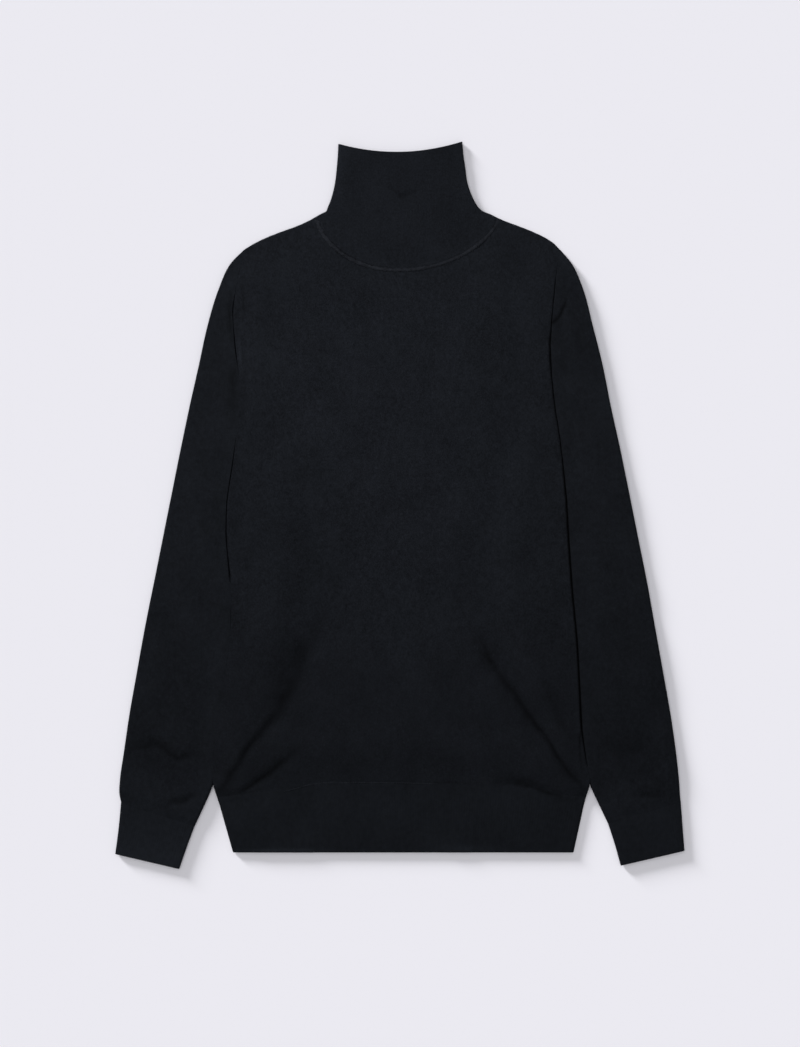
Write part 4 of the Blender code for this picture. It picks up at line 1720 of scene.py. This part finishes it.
@dataclass
class Sleeve:
    """A sleeve: a flat tube from the armhole to the cuff, tucked in beneath the body."""

    side: Side
    rows: tuple[TubeRow, ...]
    creases: tuple[Crease, ...]
    ripples: Ripples
    columns: int = 124
    rings: int = 200
    crowding: float = 0.5
    loft: float = 2.4
    flush_start: float = -1.4
    groove_start: float = 0.3
    groove_gain: float = 2.0
    rise_width: float = 1.1
    spread_width: float = 16.0
    body_edge: float = 3.15
    shallow: float = 0.03
    groove: float = 1.2
    hidden_width: float = 2.0
    hidden_shade: float = 0.75
    cuff_loft: float = 1.8
    cuff_fade: float = 14.0
    armhole_samples: int = 60
    lean: float = 0.2

    @property
    def node(self) -> str:
        """Name of the solid that the sleeve replaces."""
        return "sleeve_" + self.side.name.lower()

    def height(self, x: np.ndarray, y: np.ndarray) -> tuple[np.ndarray, np.ndarray]:
        """Find the sleeve's upper surface.

        Args:
            x: The points' x.
            y: The points' y.

        Returns:
            The surface's height, and the part by which its colour is darkened, as painted shade.
        """
        distance = OUTLINE.outside(self.side, x, y)
        folds, dark = fold_cloth(self.creases, x, y)
        waves = self.ripples.heights(x, y)
        grooved = OUTLINE.grooved(self.side, y)
        edge_x = OUTLINE.edge(self.side, y)
        body = TUCK.lift(edge_x, y, WOOL.sleeve_stack) + self.body_edge
        step = between(self.shallow, self.groove, grooved)
        beside = np.maximum(body - step - WOOL.sleeve_stack, 0.0)
        open_share = np.minimum(self.groove_gain * grooved, 1.0)
        start = between(self.flush_start, self.groove_start, open_share)
        rise = ease((distance - start) / self.rise_width)
        free = ease(distance / self.spread_width)
        # Painted shade: the colour darkens in the groove beside the body's edge
        hidden = self.hidden_shade * (1.0 - ease(distance / self.hidden_width))
        dark = 1.0 - (1.0 - dark) * (1.0 - hidden * in_groove(grooved))
        loft = between(beside * rise, self.loft, free) + (folds + waves) * free
        end = self.rows[-1]
        along = np.array([end.inner_x - end.outer_x, end.inner_y - end.outer_y])
        normal = np.array([-along[1], along[0]]) / np.linalg.norm(along) * -self.side.value
        from_cuff = (x - end.outer_x) * normal[0] + (y - end.outer_y) * normal[1]
        stand_off = between(self.cuff_loft, loft, ease(np.abs(from_cuff) / self.cuff_fade))
        return WOOL.sleeve_stack + np.maximum(stand_off, 0.0), dark

    def focus(self, line: np.ndarray) -> float:
        """Return the part of a section's plan line at which it slips beneath the body."""
        outside = OUTLINE.outside(self.side, line[:, 0], line[:, 1])
        shown = np.flatnonzero(outside >= 0.0)
        if not len(shown) or shown[-1] == len(line) - 1:
            return 1.0
        last = shown[-1]
        part = outside[last] / (outside[last] - outside[last + 1])
        return float(last + part) / (len(line) - 1)

    def build(self, material: bpy.types.Material) -> tuple[bpy.types.Object, np.ndarray]:
        """Lay out the sleeve.

        Args:
            material: The finish of the sleeve.

        Returns:
            The sleeve and the grid of its outer surface, all round.
        """
        tube = FlatTube(WOOL.knit)
        armhole = OUTLINE.armhole(self.side, self.armhole_samples)
        share = np.linspace(0.0, 1.0, len(armhole))[:, None]
        bulge = armhole - between(armhole[0], armhole[-1], share)
        steps = np.linspace(0.0, 1.0, self.rings + 1)
        steps -= self.crowding * np.sin(2.0 * np.pi * steps) / (2.0 * np.pi)
        rings = []

        def top(x: np.ndarray, y: np.ndarray) -> np.ndarray:
            """Return the height alone."""
            return self.height(x, y)[0]

        for outer_x, outer_y, inner_x, inner_y, bow in through(self.rows, steps):
            start, end = np.array([outer_x, outer_y]), np.array([inner_x, inner_y])
            line = between(start, end, share) + max(bow, 0.0) * bulge
            if bow == 1.0:
                line = armhole
            places = tube.spread(self.columns, line_length(line), self.focus(line))
            rings.append(tube.ring((line, line), places, top))
        points, outer = tube.shell(rings, self.side is Side.LEFT)
        dark = self.height(points[..., 0], points[..., 1])[1]
        pattern = turned(points[..., :2], self.lean * self.side.value)
        return Cloth(self.node + "_cloth", points, pattern, dark).build(material), outer


@dataclass(frozen=True)
class Ribs:
    """Fine ribs along a band of cloth."""

    pitch: float = 2.6
    height: float = 0.12

    def heights(self, across: np.ndarray) -> np.ndarray:
        """Return how far the cloth sinks between the ribs, at distances across them."""
        return -self.height * (0.5 - 0.5 * np.cos(2.0 * np.pi * across / self.pitch))


@dataclass
class Cuff:
    """A ribbed cuff at a sleeve's end."""

    side: Side
    rows: tuple[TubeRow, ...]
    ribs: Ribs = Ribs()
    columns: int = 150
    rings: int = 26
    end_steps: tuple[float, ...] = (0.0, 0.4, 1.0, 2.0)
    length: float = 53.0
    loft: float = 1.0
    overlap: float = 1.1
    dip: float = 0.05
    dip_width: float = 1.2
    end_drop: float = 0.09
    end_drop_width: float = 1.0
    rib_fade: float = 4.0
    lean: float = 0.1

    @property
    def node(self) -> str:
        """Name of the solid that the cuff replaces."""
        return "cuff_" + self.side.name.lower()

    def build(self, material: bpy.types.Material) -> tuple[bpy.types.Object, np.ndarray]:
        """Lay out the cuff.

        Args:
            material: The finish of the cuff.

        Returns:
            The cuff and the grid of its outer surface, all round.
        """
        tube = FlatTube(WOOL.rib)
        rings = []
        steps = crowded(self.rings, self.end_steps, self.length)
        steps = between(-self.overlap / self.length, 1.0, steps)
        for step, row in zip(steps, through(self.rows, steps)):
            line = np.array([row[0:2], row[2:4]])
            length = line_length(line)
            places = tube.spread(self.columns, length)
            sunk = self.dip * hump(step * self.length + self.overlap, self.dip_width)
            sunk += self.end_drop * hump((1.0 - step) * self.length, self.end_drop_width)
            level = WOOL.rib_stack + self.loft - sunk

            def top(x: np.ndarray, y: np.ndarray) -> np.ndarray:
                """Return the cuff's height, with its ribs."""
                across = np.hypot(x - line[0, 0], y - line[0, 1])
                edge = ease(np.minimum(across, length - across) / self.rib_fade)
                return level + self.ribs.heights(across - length / 2.0) * edge

            rings.append(tube.ring((line, line), places, top))
        points, outer = tube.shell(rings, self.side is Side.LEFT)
        pattern = turned(points[..., :2], self.lean * self.side.value)
        depth = np.zeros(points.shape[:2])
        return Cloth(self.node + "_cloth", points, pattern, depth).build(material), outer


@dataclass
class Collar:
    """The standing collar, laid flat: its front foot is scooped deeper than its back foot."""

    rows: tuple[CollarRow, ...] = (
        CollarRow(*NECK.left, *NECK.right),
        CollarRow(-82.6, 311.6, 95.5, 310.8),
        CollarRow(-78.6, 313.8, 88.0, 313.8),
        CollarRow(-77.2, 317.4, 84.2, 317.2),
        CollarRow(-74.7, 323.2, 80.1, 323.2),
        CollarRow(-72.6, 329.6, 76.9, 329.6),
        CollarRow(-69.6, 342.4, 72.4, 342.4),
        CollarRow(-67.3, 361.7, 69.4, 361.7),
        CollarRow(-66.2, 376.0, 67.4, 376.0),
        CollarRow(-65.8, 385.2, 66.5, 387.7),
    )
    columns: int = 96
    rings: int = 56
    foot_steps: tuple[float, ...] = (0.0, 0.004, 0.008, 0.012, 0.016, 0.021, 0.027, 0.035)
    rim_steps: tuple[float, ...] = (0.99, 0.996, 1.0)
    edge_clear: float = 0.0005
    edge_depth: float = 9.8
    back_edge_depth: float = 11.0
    loft: float = 1.0
    loft_place: float = 0.3
    ridge_height: float = 0.5
    ridge_place: float = 0.014
    ridge_width: float = 0.018
    ripples: Ripples = Ripples(seed=5, height=0.16, shortest=30.0, longest=90.0)
    creases: tuple[Crease, ...] = COLLAR_CREASES

    def build(self, material: bpy.types.Material) -> tuple[bpy.types.Object, np.ndarray]:
        """Lay out the collar.

        Args:
            material: The finish of the collar.

        Returns:
            The collar and the grid of its outer surface, all round.
        """
        tube = FlatTube(WOOL.rib)
        rings = []
        even = np.linspace(self.foot_steps[-1], self.rim_steps[0], self.rings)
        steps = np.concatenate([self.foot_steps, even[1:], self.rim_steps[1:]])
        for place, row in zip(steps, through(self.rows, steps)):
            ends = (row[0:2], row[2:4])
            rounding = between(NECK.rounding, 1.0, place)
            skew = between(NECK.skew, 0.0, place)
            across = NECK.steps(self.columns)
            depths = (
                between(NECK.front_depth, self.edge_depth, place),
                between(NECK.back_depth, self.back_edge_depth, place),
            )
            lines = tuple(NECK.curve(across, depth, rounding, skew, ends) for depth in depths)
            level = WOOL.rib_stack + self.loft * ease(place / self.loft_place)
            level += self.ridge_height * hump(place - self.ridge_place, self.ridge_width)

            def top(x: np.ndarray, y: np.ndarray) -> np.ndarray:
                """Return the collar's height at this ring."""
                folds = fold_cloth(self.creases, x, y)[0]
                waves = self.ripples.heights(x, y) * ease(place / self.loft_place)
                return level + folds + waves

            lengths = np.linalg.norm(np.diff(lines[0], axis=0), axis=1)
            own = np.cumsum(lengths)[:-1] / lengths.sum()
            edge = np.array(tube.edge_steps) / lengths.sum()
            inside = own[(own > edge[-1]) & (own < 1.0 - edge[-1])]
            if not rings:
                count = len(inside)
            places = np.concatenate([edge, self.spread(inside, count, edge[-1]), 1.0 - edge[::-1]])
            rings.append(tube.ring(lines, (places, places), top))
        points, outer = tube.shell(rings, False)
        x, y = points[..., 0], points[..., 1]
        cloth = Cloth("collar_cloth", points, points[..., :2], fold_cloth(self.creases, x, y)[1])
        return cloth.build(material), outer

    def spread(self, places: np.ndarray, count: int, edge: float) -> np.ndarray:
        """Return this many places with the same spacing, clear of both edges."""
        wanted = np.linspace(0.0, 1.0, count)
        own = np.linspace(0.0, 1.0, len(places))
        spaced = np.interp(wanted, own, places)
        return np.clip(spaced, edge + self.edge_clear, 1.0 - edge - self.edge_clear)


@dataclass
class HemRib:
    """The ribbed hem: a front and a back band, whose side edges meet."""

    edge_y: float = -370.2
    edge_left: float = -178.3
    edge_right: float = 185.2
    ribs: Ribs = Ribs()
    columns: int = 760
    rows: int = 14
    back_columns: int = 120
    edge_steps: tuple[float, ...] = (0.0, 0.4, 0.9, 1.5, 2.2, 3.0)
    row_steps: tuple[float, ...] = (0.0, 0.3, 0.8, 1.5, 2.4, 3.2, 4.2, 5.6)
    roll_drop: float = 2.9
    roll_width: float = 3.2
    seam_overlap: float = 0.2
    seam_rise: float = 0.03
    seam_width: float = 9.0
    rib_fade_above: float = 4.0
    rib_fade_below: float = 2.0
    curls: tuple[CurlRow, ...] = (
        CurlRow(x=-124.0, half_width=44.0, height=0.7),
        CurlRow(x=63.0, half_width=17.0, height=0.55),
    )
    curl_width: float = 5.0
    back_inset: float = 1.8
    height: float = 70.0

    def plan(self, columns: int, inset: float) -> tuple[np.ndarray, np.ndarray]:
        """Lay out a band in the plan.

        Args:
            columns: How many columns it has between its crowded edges.
            inset: How far its sides lie inside the hem's outline.

        Returns:
            The grid, and how far each column lies from the left edge.
        """
        width = self.edge_right - self.edge_left
        across = crowded(columns, self.edge_steps, width)
        up = crowded(self.rows, self.row_steps, self.height)
        top = OUTLINE.hem_seam(across) + (0.0, self.seam_overlap)
        x = between(self.edge_left, self.edge_right, across)
        bottom = np.stack([x, np.full(len(x), self.edge_y)], axis=1)
        steps = up[:, None]
        left, right = (between(bottom[end], top[end], steps) for end in (0, -1))
        plan = patch(bottom, top, left, right, across, up)
        middle = (self.edge_left + self.edge_right) / 2.0
        plan[..., 0] = middle + (plan[..., 0] - middle) * (1.0 - 2.0 * inset / width)
        return plan, across * width

    def build(
        self, material: bpy.types.Material, body_edge: np.ndarray
    ) -> tuple[list[bpy.types.Object], list[np.ndarray]]:
        """Lay out the hem's two bands.

        Args:
            material: The finish of the hem.
            body_edge: Points of the front's lower edge, which the front band continues.

        Returns:
            The front band and the back band, and the grids of their upper surfaces.
        """
        plan, across = self.plan(self.columns, 0.0)
        width = across[-1]
        from_side = np.minimum(across, width - across)
        roll = self.roll_drop * rolled(from_side, self.roll_width)
        up = plan[..., 1] - self.edge_y
        from_seam = plan[-1, :, 1] - plan[..., 1]
        below_seam = ease(from_seam / self.rib_fade_above)
        ribs = self.ribs.heights(across - width / 2.0)[None] * below_seam
        curl = sum(
            row.height * ease((1.0 - np.abs(plan[..., 0] - row.x) / row.half_width) * row.rise)
            for row in self.curls
        )
        curl = curl * ease(1.0 - up / self.curl_width)
        top = WOOL.rib_stack + ribs * ease(up / self.rib_fade_below) + curl - roll[None]
        seam = np.interp(plan[-1, :, 0], body_edge[:, 0], body_edge[:, 2]) + self.seam_rise
        top = between(seam[None], top, ease(from_seam / self.seam_width))
        front_points = np.dstack([plan, top])
        dark = fold_cloth(FRONT_CREASES + HEM_HIGHLIGHTS, plan[..., 0], plan[..., 1])[1]
        front = Cloth("hem_rib_front_cloth", front_points, plan, dark, WOOL.rib - WOOL.slack)
        plan = self.plan(self.back_columns, self.back_inset)[0]
        back_points = np.dstack([plan, np.full(plan.shape[:2], WOOL.rib)])
        none = np.zeros(plan.shape[:2])
        back = Cloth("hem_rib_back_cloth", back_points, plan, none, WOOL.rib)
        pieces = [front.build(material), back.build(material)]
        return pieces, [front_points, back_points]


@dataclass(frozen=True)
class Linking:
    """A row of small stitches along a seam, each turned by the slant, in degrees."""

    name: str
    pitch: float
    length: float
    width: float
    height: float
    slant: float
    seed: int
    around: int = 6
    down: int = 4
    unevenness: float = 0.16
    taper: float = 0.0
    look_ahead: float = 0.2

    def build(self, route: np.ndarray, material: bpy.types.Material) -> bpy.types.Object:
        """Sew the stitches.

        Args:
            route: The seam's points, with their height.
            material: The yarn's finish.

        Returns:
            The row of stitches, as one object.
        """
        random = np.random.default_rng(self.seed)
        count = int(line_length(route) / self.pitch)
        places = (np.arange(count) + 0.5) / count
        points = along_line(route, places)
        reach = self.look_ahead / count
        after = along_line(route, np.minimum(places + reach, 1.0))
        ahead = after - along_line(route, np.maximum(places - reach, 0.0))
        mesh = bmesh.new()
        wider = between(1.0 + self.taper, 1.0 - self.taper, places)
        for point, direction, wide in zip(points, ahead, wider):
            angle = np.arctan2(direction[1], direction[0]) + np.radians(self.slant)
            angle += self.unevenness * random.normal()
            size = 1.0 + self.unevenness * random.normal()
            half = Vector((self.length * size, self.width * wide, self.height * wide)) * MM / 2.0
            matrix = Matrix.Translation(Vector(point) * MM) @ Matrix.Rotation(angle, 4, "Z")
            matrix = matrix @ Matrix.Diagonal((*half, 1.0))
            bmesh.ops.create_uvsphere(
                mesh, u_segments=self.around, v_segments=self.down, radius=1.0, matrix=matrix
            )
        data = write_out(mesh, bpy.data.meshes.new(self.name))
        data.shade_smooth()
        data.materials.append(material)
        stitches = add_object(self.name, data)
        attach(stitches, BODY)
        LOG.info("%s: %d stitches", self.name, count)
        return stitches


@dataclass
class Studio:
    """The pale floor, the soft light and the camera that looks straight down."""

    picture_width: int = 800
    picture_height: int = 1047
    pixel_size: float = 1.0675
    centre_y: float = -19.5
    camera_height: float = 2500.0
    sensor: float = 36.0
    floor_size: float = 3.0
    floor_drop: float = 0.4
    floor_color: tuple[float, float, float] = (0.915, 0.906, 0.968)
    sky_color: tuple[float, float, float] = (1.0, 1.0, 1.0)
    sky_strength: float = 0.30
    backdrop_strength: float = 0.83
    sun_energy: float = 4.98
    sun_height: float = 12.0
    sun_heading: float = 135.0
    sun_softness: float = 13.0
    ceiling_energy: float = 0.88
    ceiling_height: float = 82.0
    ceiling_softness: float = 60.0
    key_place: tuple[float, float, float] = (-0.92, 1.1, 0.85)
    key_energy: float = 20.0
    key_size: float = 0.8
    fill_place: tuple[float, float, float] = (0.04, 0.11, 0.5)
    fill_energy: float = 0.83
    fill_size: float = 0.3

    def floor(self) -> bpy.types.Object:
        """Lay the floor."""
        mesh = bmesh.new()
        bmesh.ops.create_grid(mesh, x_segments=1, y_segments=1, size=self.floor_size)
        bmesh.ops.translate(mesh, verts=mesh.verts, vec=(0.0, 0.0, -self.floor_drop * MM))
        data = write_out(mesh, bpy.data.meshes.new("floor"))
        material, _, shader = new_material("pale_paper")
        shader["Base Color"].default_value = (*self.floor_color, 1.0)
        shader["Roughness"].default_value = 1.0
        shader["Specular IOR Level"].default_value = 0.0
        data.materials.append(material)
        floor = add_object("floor", data)
        return floor

    def lamp(
        self, name: str, kind: str, energy: float, lit: Sequence[bpy.types.Object]
    ) -> bpy.types.Object:
        """Hang a lamp that lights only these objects, though anything may shade them.

        Args:
            name: The lamp's name.
            kind: Blender's type of light.
            energy: Its strength.
            lit: The objects that it lights.

        Returns:
            The lamp.
        """
        lamp = add_object(name, bpy.data.lights.new(name, kind))
        lamp.data.energy = energy
        receivers = bpy.data.collections.new(name + "_lights")
        for piece in lit:
            receivers.objects.link(piece)
        lamp.light_linking.receiver_collection = receivers
        return lamp

    def toward(self, height: float) -> Vector:
        """Return the direction to a lamp at this many degrees above the floor."""
        up, heading = np.radians(height), np.radians(self.sun_heading)
        return Vector((np.cos(up) * np.cos(heading), np.cos(up) * np.sin(heading), np.sin(up)))

    @staticmethod
    def turn(away: Vector) -> Euler:
        """Return the rotation of a lamp that shines from this direction."""
        return away.to_track_quat("Z", "Y").to_euler()

    def sky(self) -> bpy.types.World:
        """Build the even light from all round, with a pale backdrop behind the floor."""
        world = bpy.data.worlds.new("studio")
        world.use_nodes = True
        sheet = NodeSheet(world.node_tree)
        light = world.node_tree.nodes["Background"]
        backdrop = sheet.add("Background")
        for node, strength in ((light, self.sky_strength), (backdrop, self.backdrop_strength)):
            node.inputs["Color"].default_value = (*self.sky_color, 1.0)
            node.inputs["Strength"].default_value = strength
        mix = sheet.add("MixShader")
        sheet.feed(mix.inputs[0], sheet.add("LightPath").outputs["Is Camera Ray"])
        sheet.feed(mix.inputs[1], light.outputs[0])
        sheet.feed(mix.inputs[2], backdrop.outputs[0])
        sheet.feed(world.node_tree.nodes["World Output"].inputs["Surface"], mix.outputs[0])
        return world

    def build(self, pieces: Sequence[bpy.types.Object]) -> None:
        """Set up the floor, the lights and the camera.

        Args:
            pieces: The sweater's pieces.
        """
        scene = bpy.context.scene
        floor = self.floor()
        for name, energy, height, softness in (
            ("low_sun", self.sun_energy, self.sun_height, self.sun_softness),
            ("ceiling", self.ceiling_energy, self.ceiling_height, self.ceiling_softness),
        ):
            lamp = self.lamp(name, "SUN", energy, [floor])
            lamp.rotation_euler = self.turn(self.toward(height))
            lamp.data.angle = np.radians(softness)
        for name, energy, place, size in (
            ("key", self.key_energy, self.key_place, self.key_size),
            ("fill", self.fill_energy, self.fill_place, self.fill_size),
        ):
            lamp = self.lamp(name, "AREA", energy, pieces)
            lamp.data.size = size
            lamp.location = place
            lamp.rotation_euler = self.turn(Vector(place))
        scene.world = self.sky()
        scene.view_settings.view_transform = "Standard"
        camera = add_object("camera", bpy.data.cameras.new("camera"))
        shown = self.pixel_size * max(self.picture_width, self.picture_height)
        camera.data.sensor_width = self.sensor
        camera.data.lens = self.sensor * self.camera_height / shown
        camera.location = Vector((0.0, self.centre_y, self.camera_height)) * MM
        scene.camera = camera


@dataclass
class Turtleneck:
    """The whole sweater."""

    groups: KnitGroups = field(default_factory=KnitGroups)
    # pale, in these finishes, is painted light on their lower parts
    body_finish: KnitFinish = KnitFinish("body_wool", "body_knit", pale=1.1)
    sleeve_finish: KnitFinish = KnitFinish(
        "sleeve_wool",
        "sleeve_knit",
        color=(0.0083, 0.0097, 0.0127),
        stitch_height=0.16,
        pile_height=0.07,
        fuzz=0.7,
        blotch=0.75,
        patch=0.68,
        fleck=1.0,
        calm=1.0,
        pale=1.17,
    )
    collar_finish: KnitFinish = KnitFinish(
        "collar_wool",
        "collar_knit",
        color=(0.009, 0.0105, 0.0139),
        wale=2.4,
        course=1.7,
        stitch_height=0.42,
        blotch=0.5,
    )
    rib_finish: KnitFinish = KnitFinish(
        "rib_wool",
        "rib_knit",
        color=(0.0089, 0.0104, 0.0136),
        wale=1.3,
        stitch_height=0.04,
        pile_height=0.02,
        fuzz=0.25,
        blotch=0.6,
        patch=0.5,
        fleck=0.4,
        calm=1.0,
    )
    cuff_finish: KnitFinish = KnitFinish(
        "cuff_wool",
        "rib_knit",
        color=(0.0101, 0.0117, 0.0153),
        wale=1.3,
        stitch_height=0.06,
        pile_height=0.04,
        fuzz=0.35,
        blotch=0.6,
        patch=0.5,
        fleck=0.4,
        calm=1.0,
        pale_below=-380.0,
        pale_above=-325.0,
    )
    # Painted light on the left cuff's lower end
    left_cuff_pale: float = 1.4
    # The yarns are paler than the cloth: painted highlights on the raised linking
    neck_yarn: YarnFinish = YarnFinish("neck_linking_yarn")
    hem_yarn: YarnFinish = YarnFinish(
        "hem_linking_yarn", color=(0.0145, 0.0163, 0.0207), patch=0.4
    )
    neck_linking: Linking = Linking(
        "neck_linking",
        pitch=1.5,
        length=6.0,
        width=2.1,
        height=1.1,
        slant=56.0,
        seed=21,
        taper=0.16,
    )
    hem_linking: Linking = Linking(
        "hem_linking", pitch=1.9, length=2.0, width=1.1, height=0.6, slant=12.0, seed=22
    )
    linking_waves: Ripples = Ripples(seed=23, height=0.16, shortest=16.0, longest=60.0)
    linking_rise: float = 0.15
    linking_samples: int = 160
    neck_linking_ends: tuple[int, int] = (7, 3)
    hem_waviness: float = 0.4
    pieces: list[bpy.types.Object] = field(default_factory=list)

    def sleeve(self, side: Side, material: bpy.types.Material) -> None:
        """Build one sleeve and its cuff.

        Args:
            side: Which sleeve.
            material: The sleeve's finish.
        """
        left = side is Side.LEFT
        sleeve = Sleeve(
            side,
            LEFT_SLEEVE_ROWS if left else RIGHT_SLEEVE_ROWS,
            LEFT_SLEEVE_CREASES if left else RIGHT_SLEEVE_CREASES,
            Ripples(seed=11 if left else 12, height=0.28, shortest=36.0, longest=110.0),
        )
        piece, points = sleeve.build(material)
        finish_piece(piece, sleeve.node, points)
        finish = replace(self.cuff_finish, pale=self.left_cuff_pale if left else 1.0)
        cuff = Cuff(side, LEFT_CUFF_ROWS if left else RIGHT_CUFF_ROWS)
        cuff_piece, cuff_points = cuff.build(finish.material(self.groups))
        finish_piece(cuff_piece, cuff.node, cuff_points)
        self.pieces += [piece, cuff_piece]

    def link_neck(self) -> bpy.types.Object:
        """Sew the collar's foot to the front, along a raised ridge."""
        foot = NECK.seam(self.linking_samples, NECK.front_depth)
        parts = np.linspace(0.0, 1.0, len(foot))
        outward = np.interp(parts, *zip(*NECK_LINKING))
        foot = between(foot, moved_out(foot, 1.0), outward[:, None])
        level = WOOL.rib_stack + self.linking_rise
        level = level + self.linking_waves.heights(foot[:, 0], foot[:, 1])
        first, last = self.neck_linking_ends
        route = np.column_stack([foot, level])[first:-last]
        return self.neck_linking.build(route, self.neck_yarn.material(self.groups))

    def link_hem(self, front_edge: np.ndarray) -> bpy.types.Object:
        """Sew the hem to the front.

        Args:
            front_edge: Points of the front's lower edge.

        Returns:
            The row of stitches.
        """
        seam = through(HEM_LINKING, np.linspace(0.0, 1.0, self.linking_samples))
        waves = self.linking_waves.heights(seam[:, 0], seam[:, 1])
        level = np.interp(seam[:, 0], front_edge[:, 0], front_edge[:, 2])
        level += self.hem_waviness * waves + self.linking_rise
        route = np.column_stack([seam, level])
        return self.hem_linking.build(route, self.hem_yarn.material(self.groups))

    def build(self) -> None:
        """Build every piece, from the surface up."""
        body_wool = self.body_finish.material(self.groups)
        rib_wool = self.rib_finish.material(self.groups)
        sleeve_wool = self.sleeve_finish.material(self.groups)
        for side in Side:
            self.sleeve(side, sleeve_wool)
        back, back_points = Back().build(body_wool)
        finish_piece(back, "back", back_points)
        front, front_points = Front().build(body_wool)
        hem = HemRib()
        bands, band_points = hem.build(rib_wool, front_points[0])
        neck_stitches = self.link_neck()
        hem_stitches = self.link_hem(front_points[0])
        finish_piece(front, "front", front_points)
        names = ("hem_rib_front", "hem_rib_back")
        rests = ([bands[1].name], ["floor"])
        for band, node, points, rest in zip(bands, names, band_points, rests):
            finish_piece(band, node, points)
        collar, collar_points = Collar().build(self.collar_finish.material(self.groups))
        finish_piece(
            collar, "collar", collar_points
        )
        self.pieces += [back, front, *bands, collar, neck_stitches, hem_stitches]


def main() -> None:
    """Build the sweater and its studio, and note its size."""
    logging.basicConfig(level=logging.INFO, format="%(message)s")
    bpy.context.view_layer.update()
    sweater = Turtleneck()
    sweater.build()
    Studio().build(sweater.pieces)


if __name__ == "__main__":
    main()
